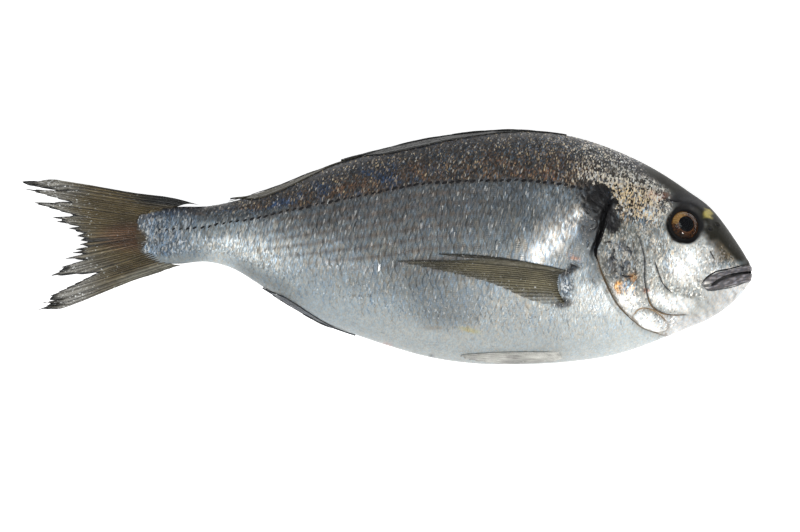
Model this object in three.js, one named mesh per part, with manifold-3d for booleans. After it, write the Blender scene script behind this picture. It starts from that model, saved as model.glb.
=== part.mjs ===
// A whole raw sea bream, lying on its left side on a table.
//
// Units are millimetres. +X points to the head, +Y to the back, +Z up and away from the table,
// so the right flank faces up. The origin is on the table, under the middle of the fish.
// Trunk, head, jaws, gill covers and fins have grown together, so they are one solid.
// The two eyeballs are balls of their own in their sockets.

import * as THREE from "three";
import { mergeVertices } from "three/addons/utils/BufferGeometryUtils.js";
import Module from "manifold-3d";

const wasm = await Module();
wasm.setup();

// ---------- Driving dimensions ----------

// Trunk and head, from the root of the tail fin to the snout: [x, back, belly, half width].
const STATIONS = [
  [-118, 6.0, 4.6, 0],
  [-116, 12.4, -2.2, 1.5],
  [-109, 16.8, -6.6, 3.2],
  [-97, 18.6, -7.8, 5.0],
  [-82, 19.0, -7.0, 6.9],
  [-71, 21.0, -9.9, 8.6],
  [-60, 24.3, -16.4, 10.4],
  [-49, 28.1, -23.8, 12.4],
  [-38, 32.6, -30.5, 14.3],
  [-27, 36.9, -36.1, 16.1],
  [-14, 41.3, -40.7, 17.8],
  [1, 45.4, -45.7, 19.5],
  [18, 49.3, -50.6, 20.9],
  [40, 52.6, -54.0, 22.1],
  [62, 53.7, -54.5, 22.7],
  [85, 51.5, -53.3, 22.7],
  [107, 44.7, -49.8, 20.9],
  [129, 33.6, -42.2, 17.3],
  [140, 26.2, -37.7, 14.8],
  [151.5, 17.4, -32.6, 11.6],
  [162.5, 2.8, -24.2, 7.7],
  [167.4, -5.0, -18.4, 5.2],
  [169.2, -8.6, -15.0, 3.2],
  [169.7, -11.0, -12.2, 0],
];
const RINGS = 56;
const RING_POINTS = 36;
const BACK_SHARPNESS = 1.28;
const BELLY_SHARPNESS = 1.0;
const WIDEST_ABOVE_MIDDLE = 0.06;

// How far the flesh is pressed flat where it lies on the table.
const PRESSED = 2.2;
const HALF_WIDTH = Math.max(...STATIONS.map((station) => station[3]));
const TABLE_Z = -(HALF_WIDTH - PRESSED);

// Head.
const EYE = { x: 138.9, y: 10.5, radius: 7.2, depth: 5, proud: 1.7 };
const ORBIT = { radius: 9, depth: 1.5, sunk: 0.9 };
const SOCKET_GAP = 0.3;
const GILL_COVER_EDGE = [
  [107, 25],
  [102.3, 16.2],
  [99.8, 6.5],
  [96.9, -2.1],
  [98.3, -7.5],
  [99.9, -12.1],
  [103, -19],
  [106.4, -25.5],
  [112.9, -32.7],
  [120.8, -38.5],
  [132, -41.8],
];
const GILL_COVER = { rise: 1.3, fadesFrom: 104, fadesTo: 132 };
const GILL_SLIT = { width: 1.7, depth: 2.6 };
const CHEEK_EDGE = [
  [116, 8],
  [119.4, -5.1],
  [119.6, -15.8],
  [122.7, -26.4],
  [130.6, -31.1],
  [141, -31.5],
];
const CHEEK_FRONT = [
  [148, -26],
  [146, -2],
  [128, 0],
  [122, 8],
];
const CHEEK = { rise: 1.9, fadesFrom: 120, fadesTo: 146 };
const MOUTH_LINE = [
  [151.4, -17.4],
  [155, -15.1],
  [161, -12.9],
  [167, -11.9],
  [172, -11.6],
];
const MOUTH_SLIT = { width: 0.9, depth: 2.2 };
const UPPER_LIP = [
  [147, -17.8],
  [150.4, -13.6],
  [154.4, -11.2],
  [160, -10],
  [166.8, -8.4],
  [174, -8],
];
const LOWER_LIP = [
  [147, -17.8],
  [149.6, -19.6],
  [154, -18.6],
  [160, -17.2],
  [167.4, -16],
  [174, -15.8],
];
const LIP_RISE = 0.8;
const NOSTRILS = [
  { x: 150, y: 8.3, radius: 0.8 },
  { x: 153.8, y: 10.2, radius: 0.6 },
];
const NOSTRIL_DEPTH = 1.4;
const VENT = { x: 0.4, radius: 1.8, sunk: 0.8 };

// Tail fin. Its rays fan out from the root and end in frayed tufts, listed from the upper
// lobe to the lower one with the notch below each: [tip x, tip y, notch x, notch y].
const TAIL_TOP_EDGE = [
  [-80, 17.5],
  [-88, 20],
  [-99, 22.8],
  [-116, 24.9],
  [-133, 28],
  [-150, 30.7],
  [-160, 31.5],
  [-167, 31.4],
];
const TAIL_BOTTOM_EDGE = [
  [-80, -5.6],
  [-97, -9],
  [-112, -13.6],
  [-126, -19],
  [-144, -26.4],
  [-155, -30],
  [-160, -31],
];
const TAIL_TUFTS = [
  [-170, 29.4, -152.4, 26.1],
  [-168.7, 27.2, -147.5, 21.1],
  [-164.7, 20.7, -144.6, 14.7],
  [-156.4, 13.7, -150.5, 12.9],
  [-153.5, 11.9, -143.1, 9.6],
  [-147.4, 8.7, -141.3, 6.5],
  [-143.2, 5.1, -140.8, 4],
  [-141.6, 3.1, -139, 2.1],
  [-142.8, 0.9, -137.8, 0.1],
  [-144.1, -1, -141.8, -1.9],
  [-145.6, -2.7, -140.9, -3.5],
  [-149.5, -5.5, -140.1, -6.1],
  [-151.8, -9.7, -150.6, -10.6],
  [-156, -13.7, -134.5, -12.3],
  [-157.3, -23.4, -154.6, -25.4],
  [-160.6, -26.3, -156.5, -26.8],
  [-163.5, -30.1, -160, -31],
];
const TAIL_ROOT = { x: -112, bulge: 8, y: 5.2, halfHeight: 10.4 };
const TAIL_RAY_WIDTH = { root: 1.5, tip: 0.5 };
const TAIL_RAY_RISE = 0.3;
const TAIL_HALF_THICKNESS = { root: 1.9, tip: 0.45 };

// Fins that lie folded against the body.
const FOLDED_FIN_RISE = 1.5;
const DORSAL_FIN = { front: 76, rear: -54, spines: 11, rays: 8, spineLength: 19, rayLength: 18 };
const ANAL_FIN = { front: -8, rear: -44, spines: 3, rays: 5, spineLength: 13, rayLength: 11 };
const FOLDED_RAY = { halfThickness: 1.0, lean: 0.5, sunk: 1.5 };
const PECTORAL_FIN = {
  root: { x: 82, top: -10.6, bottom: -25.8 },
  tips: [
    [24, -3.4],
    [4.4, -6.6],
    [11, -8.6],
    [26, -11],
    [38, -14.4],
    [48, -18],
    [56, -21.4],
    [61, -24.4],
    [66, -26.2],
  ],
  ray: { rise: 1.2, fadesFrom: 74, fadesTo: 86 },
  skin: { rise: 0.7, fadesFrom: 74, fadesTo: 86 },
  rayWidth: { root: 1.3, tip: 0.5 },
};
const PELVIC_FIN = {
  root: [83, -51],
  upperEdge: [
    [70, -49.2],
    [54, -48.6],
    [42, -49.4],
    [34, -51.2],
  ],
  keel: [
    [38, -58],
    [83, -58],
  ],
  rayTips: [
    [38, -51.4],
    [44, -53.4],
  ],
  ray: { rise: 1.3, fadesFrom: 70, fadesTo: 84 },
  skin: { rise: 0.9, fadesFrom: 70, fadesTo: 84 },
  rayWidth: { root: 1.4, tip: 0.6 },
  gap: 0.9,
};

const BEYOND = 60; // far enough to pass right through the fish

// ---------- Materials ----------

const SKIN = new THREE.MeshStandardMaterial({ color: 0x8e979c, roughness: 0.3, metalness: 0.6 });
const EYEBALL = new THREE.MeshStandardMaterial({ color: 0x5a3a14, roughness: 0.1, metalness: 0.1 });

// ---------- Helpers ----------

// A closed three.js geometry as a solid that can be joined and cut.
function solidOf(geometry) {
  const bare = geometry.index ? geometry.toNonIndexed() : geometry.clone();
  bare.deleteAttribute("normal");
  bare.deleteAttribute("uv");
  const merged = mergeVertices(bare, 1e-4);
  return new wasm.Manifold(
    new wasm.Mesh({
      numProp: 3,
      vertProperties: merged.attributes.position.array,
      triVerts: new Uint32Array(merged.index.array),
    }),
  );
}

// A solid as a named mesh.
function meshOf(name, solid, material) {
  const { vertProperties, triVerts, numProp, numVert } = solid.getMesh();
  const positions = new Float32Array(numVert * 3);
  for (let i = 0; i < numVert; i++) {
    positions.set(vertProperties.subarray(i * numProp, i * numProp + 3), i * 3);
  }
  const geometry = new THREE.BufferGeometry();
  geometry.setAttribute("position", new THREE.BufferAttribute(positions, 3));
  geometry.setIndex(new THREE.BufferAttribute(triVerts, 1));
  geometry.computeVertexNormals();
  const mesh = new THREE.Mesh(geometry, material);
  mesh.name = name;
  mesh.position.z = -TABLE_Z;
  return mesh;
}

function joined(solids) {
  return solids.reduce((whole, solid) => whole.add(solid));
}

// Points along a smooth line through the given ones.
function smooth(points, steps) {
  const line = new THREE.SplineCurve(points.map(([x, y]) => new THREE.Vector2(x, y)));
  return line.getPoints(steps).map((point) => [point.x, point.y]);
}

// A side-view outline pushed through the fish from one flank to the other.
function prism(outline, halfThickness = BEYOND, middle = 0) {
  const shape = new THREE.Shape(outline.map(([x, y]) => new THREE.Vector2(x, y)));
  const geometry = new THREE.ExtrudeGeometry(shape, { depth: 2 * halfThickness, bevelEnabled: false });
  geometry.translate(0, 0, middle - halfThickness);
  return solidOf(geometry);
}

// A line given a width: the outline of a band from one end to the other.
function band(line, startWidth, endWidth) {
  const left = [];
  const right = [];
  line.forEach(([x, y], i) => {
    const [ax, ay] = line[Math.max(i - 1, 0)];
    const [bx, by] = line[Math.min(i + 1, line.length - 1)];
    const length = Math.hypot(bx - ax, by - ay);
    const half = THREE.MathUtils.lerp(startWidth, endWidth, i / (line.length - 1)) / 2;
    const nx = (-(by - ay) / length) * half;
    const ny = ((bx - ax) / length) * half;
    left.push([x + nx, y + ny]);
    right.push([x - nx, y - ny]);
  });
  return left.concat(right.reverse());
}

// ---------- Trunk and head ----------

// A station's slope in one of its columns: that of the parabola through its neighbours.
function slopeAt(station, column) {
  const low = Math.max(station - 1, 0);
  const high = Math.min(station + 1, STATIONS.length - 1);
  const secant = (from, to) => {
    return (STATIONS[to][column] - STATIONS[from][column]) / (STATIONS[to][0] - STATIONS[from][0]);
  };
  if (low === station || high === station) {
    return secant(low, high);
  }
  const before = STATIONS[station][0] - STATIONS[low][0];
  const after = STATIONS[high][0] - STATIONS[station][0];
  return (secant(low, station) * after + secant(station, high) * before) / (before + after);
}

// Middle height, half height and half width of the section at x, smooth from station to station.
function sectionAt(x) {
  const ahead = STATIONS.findIndex(([stationX]) => stationX > x);
  const next = ahead === -1 ? STATIONS.length - 1 : Math.max(ahead, 1);
  const length = STATIONS[next][0] - STATIONS[next - 1][0];
  const share = THREE.MathUtils.clamp((x - STATIONS[next - 1][0]) / length, 0, 1);
  const [back, belly, halfWidth] = [1, 2, 3].map((column) => {
    const [from, to] = [STATIONS[next - 1][column], STATIONS[next][column]];
    const leaving = slopeAt(next - 1, column) * length - (to - from);
    const arriving = to - from - slopeAt(next, column) * length;
    const bend = share * (1 - share) * (leaving * (1 - share) + arriving * share);
    return THREE.MathUtils.lerp(from, to, share) + bend;
  });
  return { middle: (back + belly) / 2, halfHeight: (back - belly) / 2, halfWidth };
}

// How pointed a section is, between its belly (cosine -1) and its back (cosine 1).
function sharpnessAt(cosine) {
  return THREE.MathUtils.lerp(BELLY_SHARPNESS, BACK_SHARPNESS, (1 + cosine) / 2);
}

function backAt(x) {
  const { middle, halfHeight } = sectionAt(x);
  return middle + halfHeight;
}

function bellyAt(x) {
  const { middle, halfHeight } = sectionAt(x);
  return middle - halfHeight;
}

// How far out the skin stands at a place on either flank.
function flankAt(x, y) {
  const { middle, halfHeight, halfWidth } = sectionAt(x);
  const height = THREE.MathUtils.clamp((y - middle) / halfHeight, -1, 1);
  const lift = WIDEST_ABOVE_MIDDLE;
  const cosine = (1 - Math.sqrt(1 - 4 * lift * (height - lift))) / (2 * lift);
  return halfWidth * Math.pow(1 - cosine * cosine, sharpnessAt(cosine) / 2);
}

// The way the skin faces at a place on the right flank.
function skinNormal(x, y) {
  const step = 0.5;
  const slopeX = (flankAt(x + step, y) - flankAt(x - step, y)) / (2 * step);
  const slopeY = (flankAt(x, y + step) - flankAt(x, y - step)) / (2 * step);
  return new THREE.Vector3(-slopeX, -slopeY, 1).normalize();
}

// Margins by which a form can be grown, as functions of x.
const even = (margin) => () => margin;
const fading = ({ rise, fadesFrom, fadesTo }) => {
  return (x) => rise * (1 - THREE.MathUtils.smoothstep(x, fadesFrom, fadesTo));
};

// The fish's smooth form, grown by a margin: a sphere whose rings become the sections.
function bodyForm(marginAt = even(0)) {
  const geometry = new THREE.SphereGeometry(1, RING_POINTS, RINGS);
  const position = geometry.attributes.position;
  for (let ring = 0; ring <= RINGS; ring++) {
    const place = (1 - ring / RINGS) * (STATIONS.length - 1);
    const station = Math.min(Math.floor(place), STATIONS.length - 2);
    const x = THREE.MathUtils.lerp(STATIONS[station][0], STATIONS[station + 1][0], place - station);
    const section = sectionAt(x);
    const margin = marginAt(x);
    const end = { 0: 1, [RINGS]: -1 }[ring] ?? 0;
    const halfHeight = Math.max(section.halfHeight + margin, 0.2);
    const halfWidth = Math.max(section.halfWidth + margin, 0.2);
    for (let point = 0; point <= RING_POINTS; point++) {
      const angle = (2 * Math.PI * (point % RING_POINTS)) / RING_POINTS;
      const cosine = end ? 0 : Math.cos(angle);
      const sine = end ? 0 : Math.sin(angle);
      const height = cosine + WIDEST_ABOVE_MIDDLE * sine * sine;
      const out = Math.sign(sine) * Math.pow(Math.abs(sine), sharpnessAt(cosine));
      const index = ring * (RING_POINTS + 1) + point;
      position.setXYZ(index, x + end * margin, section.middle + halfHeight * height, halfWidth * out);
    }
  }
  return solidOf(geometry);
}

// A part of the skin inside an outline, raised by a margin, on both flanks.
function raised(outline, marginAt) {
  return prism(outline).intersect(bodyForm(marginAt));
}

// A groove along an outline, cut to a depth into both flanks.
function groove(outline, depth) {
  return prism(outline).subtract(bodyForm(even(-depth)));
}

function gillCover() {
  const edge = smooth(GILL_COVER_EDGE, 16);
  return raised([...edge, [140, -30], [140, 16], [120, 24]], fading(GILL_COVER));
}

function gillSlit() {
  const line = smooth(GILL_COVER_EDGE, 16).map(([x, y]) => [x - GILL_SLIT.width / 2, y]);
  return groove(band(line.slice(1, -2), GILL_SLIT.width, GILL_SLIT.width / 2), GILL_SLIT.depth);
}

function cheek() {
  return raised([...smooth(CHEEK_EDGE, 10), ...CHEEK_FRONT], fading(CHEEK));
}

function lips() {
  const outline = [...smooth(UPPER_LIP, 8), ...smooth(LOWER_LIP, 8).reverse().slice(0, -1)];
  return raised(outline, even(LIP_RISE));
}

function mouthSlit() {
  return groove(band(smooth(MOUTH_LINE, 6), MOUTH_SLIT.width / 2, MOUTH_SLIT.width), MOUTH_SLIT.depth);
}

function nostril(x, y, radius) {
  const round = new THREE.Shape().absarc(x, y, radius, 0, 2 * Math.PI);
  return groove(round.getPoints(3).map((point) => [point.x, point.y]), NOSTRIL_DEPTH);
}

function vent() {
  const geometry = new THREE.SphereGeometry(VENT.radius, 10, 6);
  geometry.translate(VENT.x, bellyAt(VENT.x) - VENT.radius + VENT.sunk, 0);
  return solidOf(geometry);
}

// A flattened ball at the eye's place on one flank (side is +1 or -1), facing the way the skin does.
function eyeForm(side, radius, halfDepth, above) {
  const normal = skinNormal(EYE.x, EYE.y);
  const middle = new THREE.Vector3(EYE.x, EYE.y, flankAt(EYE.x, EYE.y)).addScaledVector(normal, above);
  normal.z *= side;
  middle.z *= side;
  const geometry = new THREE.SphereGeometry(1, 20, 12);
  geometry.rotateX(Math.PI / 2);
  geometry.scale(radius, radius, halfDepth);
  geometry.applyQuaternion(new THREE.Quaternion().setFromUnitVectors(new THREE.Vector3(0, 0, 1), normal));
  geometry.translate(middle.x, middle.y, middle.z);
  return solidOf(geometry);
}

function eyeball(side, gap = 0) {
  return eyeForm(side, EYE.radius + gap, EYE.depth + gap, EYE.proud - EYE.depth);
}

// The shallow dish that the eye sits in.
function orbit(side) {
  return eyeForm(side, ORBIT.radius, ORBIT.depth, ORBIT.depth - ORBIT.sunk);
}

// ---------- Fins ----------

// One folded ray: a slender blade from its root at x, laid back along the line that edge() gives.
function foldedRay(x, length, edge, outward, lean) {
  const at = (back, out) => [x - back, edge(x - back) + outward * out];
  const outline = [
    at(0, -FOLDED_RAY.sunk),
    at(0.16 * length, 0.5 * FOLDED_FIN_RISE),
    at(0.4 * length, FOLDED_FIN_RISE),
    at(0.75 * length, FOLDED_FIN_RISE),
    at(length, 0.62 * FOLDED_FIN_RISE),
    at(0.8 * length, -FOLDED_RAY.sunk),
  ];
  return prism(outward > 0 ? outline.reverse() : outline, FOLDED_RAY.halfThickness, lean);
}

// A fin folded down along the back or the belly, its rays leaning left and right by turns.
function foldedFin(fin, edge, outward) {
  const count = fin.spines + fin.rays;
  const blades = [];
  for (let i = 0; i < count; i++) {
    const x = THREE.MathUtils.lerp(fin.front, fin.rear, i / (count - 1));
    const length = i < fin.spines ? fin.spineLength : fin.rayLength;
    const lean = i % 2 ? FOLDED_RAY.lean : -FOLDED_RAY.lean;
    blades.push(foldedRay(x, length, edge, outward, lean));
  }
  return joined(blades);
}

// Where the tail ray that ends at height y leaves the root.
function tailRayRoot(y) {
  const spread = y / TAIL_TOP_EDGE.at(-1)[1];
  return [TAIL_ROOT.x + TAIL_ROOT.bulge * spread * spread, TAIL_ROOT.y + TAIL_ROOT.halfHeight * spread];
}

// Thins a tail piece evenly from its root to its tips.
function thinned(outline, rise) {
  const shape = new THREE.Shape(outline.map(([x, y]) => new THREE.Vector2(x, y)));
  const geometry = new THREE.ExtrudeGeometry(shape, { depth: 2, bevelEnabled: false });
  geometry.translate(0, 0, -1);
  const position = geometry.attributes.position;
  for (let i = 0; i < position.count; i++) {
    const share = (TAIL_ROOT.x - position.getX(i)) / (TAIL_ROOT.x - TAIL_TUFTS[0][0]);
    const { root, tip } = TAIL_HALF_THICKNESS;
    position.setZ(i, position.getZ(i) * (THREE.MathUtils.lerp(root, tip, share) + rise));
  }
  return solidOf(geometry);
}

function tailFin() {
  const frayed = TAIL_TUFTS.flatMap(([tipX, tipY, notchX, notchY]) => [
    [tipX, tipY],
    [notchX, notchY],
  ]);
  const top = smooth(TAIL_TOP_EDGE, 12);
  const bottom = smooth(TAIL_BOTTOM_EDGE, 12).slice(0, -1);
  const membrane = thinned([...top, ...frayed, ...bottom.reverse()], 0);
  const { root: wide, tip: narrow } = TAIL_RAY_WIDTH;
  const ridges = TAIL_TUFTS.slice(0, -1).map(([tipX, tipY]) => {
    const root = tailRayRoot(tipY);
    const end = [tipX, tipY].map((tip, axis) => THREE.MathUtils.lerp(tip, root[axis], 0.05));
    return thinned(band([root, end], wide, narrow).reverse(), TAIL_RAY_RISE);
  });
  return joined([membrane, ...ridges]);
}

// The fins on the flanks, laid back against the skin.
function pectoralFins() {
  const { root, tips, ray, skin, rayWidth } = PECTORAL_FIN;
  const roots = tips.map((_, i) => {
    const share = i / (tips.length - 1);
    return [root.x + 2 * share, THREE.MathUtils.lerp(root.top, root.bottom, share)];
  });
  const edge = [[root.x + 3, root.top - 1]];
  tips.forEach((tip, i) => {
    edge.push([0, 1].map((axis) => THREE.MathUtils.lerp(tip[axis], roots[i][axis], 0.08)));
    const next = tips[i + 1];
    if (next) {
      edge.push([Math.max(tip[0], next[0]) + 5, (tip[1] + next[1]) / 2 - 0.2]);
    }
  });
  edge.push([root.x + 3, root.bottom + 1]);
  const rays = tips.map((tip, i) => {
    return raised(band([roots[i], tip], rayWidth.root, rayWidth.tip), fading(ray));
  });
  return joined([raised(edge, fading(skin)), ...rays]);
}

// The pair of fins folded back under the belly, one on each side of its keel.
function pelvicFins() {
  const { root, upperEdge, keel, rayTips, ray, skin, rayWidth, gap } = PELVIC_FIN;
  const rays = rayTips.map((tip) => raised(band([root, tip], rayWidth.root, rayWidth.tip), fading(ray)));
  const outline = [root, ...upperEdge, ...keel];
  const pair = [1, -1].map((side) => prism(outline, BEYOND / 2, (side * (BEYOND + gap)) / 2));
  return joined([joined(pair).intersect(bodyForm(fading(skin))), ...rays]);
}

// ---------- The fish ----------

// Everything below the table's top, to press the lower flank flat.
function table() {
  const geometry = new THREE.BoxGeometry(6 * BEYOND, 4 * BEYOND, BEYOND);
  geometry.translate(0, 0, TABLE_Z - BEYOND / 2);
  return solidOf(geometry);
}

function fish() {
  const grown = joined([
    bodyForm(),
    gillCover(),
    cheek(),
    lips(),
    pectoralFins(),
    pelvicFins(),
    foldedFin(DORSAL_FIN, backAt, 1),
    foldedFin(ANAL_FIN, bellyAt, -1),
    tailFin(),
  ]);
  const cuts = [
    gillSlit(),
    mouthSlit(),
    ...NOSTRILS.map(({ x, y, radius }) => nostril(x, y, radius)),
    vent(),
    table(),
  ];
  for (const side of [1, -1]) {
    cuts.push(orbit(side), eyeball(side, SOCKET_GAP));
  }
  return cuts.reduce((whole, cut) => whole.subtract(cut), grown);
}

const bream = new THREE.Group();
bream.add(meshOf("fish", fish(), SKIN));
bream.add(meshOf("eye_right", eyeball(1), EYEBALL));
bream.add(meshOf("eye_left", eyeball(-1), EYEBALL));

export default bream;
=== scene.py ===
"""A whole raw sea bream lying on its left side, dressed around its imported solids.

Lengths are in millimetres in the body's own frame: x runs to the snout, y to the back and z out of
the right flank, from the middle plane of the fish. place() turns them into metres on the table.
"""

import math

import bpy
import numpy as np
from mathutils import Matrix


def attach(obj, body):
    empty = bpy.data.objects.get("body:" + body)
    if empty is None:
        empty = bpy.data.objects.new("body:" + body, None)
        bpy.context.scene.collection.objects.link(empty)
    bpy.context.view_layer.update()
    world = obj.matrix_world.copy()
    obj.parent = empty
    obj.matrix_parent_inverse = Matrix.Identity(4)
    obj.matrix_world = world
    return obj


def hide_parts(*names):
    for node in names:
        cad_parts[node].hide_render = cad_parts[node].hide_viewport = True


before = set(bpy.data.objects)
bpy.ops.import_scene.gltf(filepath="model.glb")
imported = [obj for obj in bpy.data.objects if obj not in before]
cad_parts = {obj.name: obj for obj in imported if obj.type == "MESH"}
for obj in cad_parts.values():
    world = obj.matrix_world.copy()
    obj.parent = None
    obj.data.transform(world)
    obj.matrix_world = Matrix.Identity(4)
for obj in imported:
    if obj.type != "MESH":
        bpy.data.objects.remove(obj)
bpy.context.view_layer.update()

MM = 0.001
MIDDLE_HEIGHT = 20.5  # the middle plane of the fish above the table
RIGHT = 1
LEFT = -1
SIDES = ((RIGHT, "right"), (LEFT, "left"))

# ---------------------------------------------------------------- body form

# x, back, belly, half width
STATIONS = np.array([
    [-118, 6.0, 4.6, 0], [-116, 12.4, -2.2, 0.3], [-109, 16.8, -6.6, 1.0], [-97, 18.6, -7.8, 5.0],
    [-82, 19.0, -7.0, 6.9], [-71, 21.0, -9.9, 8.6], [-60, 24.3, -16.4, 10.4], [-49, 28.1, -23.8, 12.4],
    [-38, 32.6, -30.5, 14.3], [-27, 36.9, -36.1, 16.1], [-14, 41.3, -40.7, 17.8], [1, 45.4, -45.7, 19.5],
    [18, 49.3, -50.6, 20.9], [40, 52.6, -54.0, 22.1], [62, 53.7, -54.5, 22.7], [85, 51.5, -53.3, 22.7],
    [107, 44.7, -49.8, 20.9], [129, 33.6, -42.2, 17.3], [140, 26.2, -37.7, 14.8], [151.5, 17.4, -32.6, 11.6],
    [162.5, 2.8, -24.2, 7.7], [167.4, -5.0, -18.4, 5.2], [169.2, -8.6, -15.0, 3.2], [169.7, -11.0, -12.2, 0],
])
TAIL_END, SNOUT = STATIONS[0, 0], STATIONS[-1, 0]
BACK_SHARPNESS = 1.28
BELLY_SHARPNESS = 1.0
WIDEST_ABOVE_MIDDLE = 0.06

# Lines on the head and flank, as x, y
GILL_COVER_EDGE = [
    [107, 25], [102.3, 16.2], [99.8, 6.5], [96.9, -2.1], [98.3, -7.5], [99.9, -12.1],
    [103, -19], [106.4, -25.5], [112.9, -32.7], [120.8, -38.5], [132, -41.8]]
CHEEK_EDGE = [[116, 8], [119.4, -5.1], [119.6, -15.8], [122.7, -26.4], [130.6, -31.1], [141, -31.5]]
THROAT_PLATE = [
    [113.9, -32], [118, -28.3], [124.5, -29.7], [130.6, -35.2], [130.1, -39.0], [124.5, -39.6], [118, -37.1]]
MOUTH_LINE = [[151.4, -17.4], [155, -15.1], [161, -12.9], [167, -11.9], [172, -11.6]]
LIPS_MEET = [[174, -11.6], [167, -11.9], [161, -12.9], [155, -15.1], [151.4, -17.4]]
UPPER_LIP = np.array([
    [146.2, -18.2], [146.6, -15.8], [149.5, -13.2], [154.4, -11.2], [160, -10], [166.8, -8.4], [174, -8],
    *LIPS_MEET])
LOWER_LIP = np.array([
    [146.2, -18.2], [149.2, -20.6], [154, -19.8], [160, -18.2], [167.4, -16.6], [174, -16], *LIPS_MEET])
LATERAL_LINE = [
    [-104.6, 8.1], [-86, 8.8], [-73.5, 11.4], [-61, 13], [-42.9, 17.2], [-24.8, 20.9], [-4.9, 25],
    [18.3, 29.2], [43.4, 30.4], [63.8, 30.6], [80.5, 28.9], [89.3, 26.9], [101.8, 24.1]]
# line, width, depth: furrows of the head and shoulder
CREASES = [
    ([[123.6, -5.1], [127, -14.8], [129.9, -19], [133.3, -21.3]], 0.6, 0.5),
    ([[150, -1.4], [152.4, -6]], 0.5, 0.5),
    ([[125, 20.4], [129, 21.6], [133, 21.5], [137.4, 20.4]], 0.9, 0.6),
    ([[84, -9.4], [87, -8.4], [91, -8.8]], 2.0, 1.6),
    ([[100.6, 1.8], [103.8, 2.2], [105.4, -1.2], [105.2, -4.8], [107.8, -6.4]], 0.9, 0.7),
    ([[108.6, -5.2], [109.6, -9.4], [108.8, -12.6], [112.2, -13.6], [115.4, -12.4], [115, -8.6]], 0.9, 0.7),
    ([[103.2, -3.2], [106, -8.8], [105.4, -12.6]], 0.7, 0.5),
    ([[110.6, 1.2], [113.2, -2.2], [112.4, -6]], 0.7, 0.5),
    ([[88.6, 22.6], [91.2, 17.2], [90.6, 12.4], [93.2, 9.6], [97, 10.6]], 0.9, 0.7),
    ([[91.4, 12.2], [94.6, 13.2], [97.2, 12.2], [97.6, 9.4], [95, 7.8], [91.8, 8.4], [90.6, 10.4]], 0.8, 0.6),
    ([[92.8, 17.6], [96.2, 17.8], [98.4, 15.4]], 0.8, 0.6),
    ([[91.2, 5.6], [93.4, 2.2], [93, -0.6]], 0.7, 0.5),
    ([[94, 24.6], [98, 20.4], [103, 17], [107.6, 12.6]], 1.3, 0.6),
    ([[99.6, 27], [102.6, 20], [103.4, 12], [102.6, 5]], 1.5, 0.6),
    ([[101, 13.4], [104.6, 9.6], [107.6, 8.2]], 1.0, 0.5),
]
# x, y, radius, depth
NOSTRILS = [(150, 8.3, 0.9, 1.5), (153.8, 10.2, 0.7, 1.5)]

GILL_COVER_RISE = 1.3
GILL_SLIT_WIDTH = 1.9
GILL_SLIT_DEPTH = 2.8
SHOULDER_RISE = 0.8
CHEEK_RISE = 1.3
CHEEK_FURROW = 0.35
PLATE_RISE = 0.7
PLATE_FURROW = 0.6
LIP_RISE = 0.5
MOUTH_DEPTH = 1.5
NOSTRIL_RIM = 0.25
EYE = {"x": 138.9, "y": 10.5, "radius": 7.2, "depth": 5.0, "proud": 1.7}
ORBIT_RADIUS = 9.0
ORBIT_DEPTH = 1.5
ORBIT_RIM = 0.5
PECTORAL_LOBE = ((83.2, -18.2), (4.6, 7.6))
LOBE_RISE = 1.7

NAPE_FRONT = 131.0
NAPE_REAR = 101.0
BREAST_REAR = 76.0
TAIL_MIDDLE = 4.5
TAIL_SCALES_END = -117.0
# y and x of the line where the small scales end upon the tail fin
TAIL_SCALE_EDGE = np.array([
    [-8, -104], [-6, -108], [-2, -114], [4.5, -110.5], [10, -116], [14.5, -115], [17, -104]])


def ease(value, start, end):
    """0 before start and 1 after end, with a smooth rise between them."""
    share = np.clip((np.asarray(value, float) - start) / (end - start), 0, 1)
    return share * share * (3 - 2 * share)


def fade(value, start, end):
    """1 before start and 0 after end."""
    return 1 - ease(value, start, end)


def ends(share, length):
    """1 along the middle of a line, fading out over a length at either end."""
    return ease(share, 0, length) * fade(share, 1 - length, 1)


def mix(first, second, share):
    return first + (second - first) * share


def spot(x, y, centre, radii, lean=0.0):
    """A soft patch: 1 at its centre and 0 outside its radii, turned by lean degrees."""
    c, s = math.cos(math.radians(lean)), math.sin(math.radians(lean))
    dx, dy = x - centre[0], y - centre[1]
    far = np.hypot((dx * c + dy * s) / radii[0], (dy * c - dx * s) / radii[1])
    return fade(far, 0.35, 1.0)


def ripple(x, y, size, seed):
    """Smooth noise from -1 to 1 with bumps of about the given size."""
    table = np.random.default_rng(seed).uniform(-1, 1, (64, 64))
    u, v = np.asarray(x) / size, np.asarray(y) / size
    i, j = np.floor(u).astype(int), np.floor(v).astype(int)
    a, b = ease(u - i, 0, 1), ease(v - j, 0, 1)
    corner = [table[(i + di) % 64, (j + dj) % 64] for di in (0, 1) for dj in (0, 1)]
    return mix(mix(corner[0], corner[1], b), mix(corner[2], corner[3], b), a)


def body_at(x):
    """Back, belly and half width at x, on a smooth curve through the stations."""
    at = STATIONS[:, 0]
    values = STATIONS[:, 1:]
    length = np.diff(at)[:, None]
    secant = np.diff(values, axis=0) / length
    before, after = length[:-1], length[1:]
    slope = np.vstack([
        secant[:1],
        (secant[:-1] * after + secant[1:] * before) / (before + after),
        secant[-1:]])
    x = np.clip(np.asarray(x, float), TAIL_END, SNOUT)
    i = np.clip(np.searchsorted(at, x, side="right") - 1, 0, len(at) - 2)
    share = ((x - at[i]) / length[i, 0])[..., None]
    rise = values[i + 1] - values[i]
    leaving = slope[i] * length[i] - rise
    arriving = rise - slope[i + 1] * length[i]
    curved = values[i] + rise * share + share * (1 - share) * (leaving * (1 - share) + arriving * share)
    return curved[..., 0], curved[..., 1], curved[..., 2]


def share_down(x, y):
    """The share of the way from the back down to the belly."""
    back, belly, _ = body_at(x)
    return (back - y) / np.maximum(back - belly, 0.1)


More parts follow.
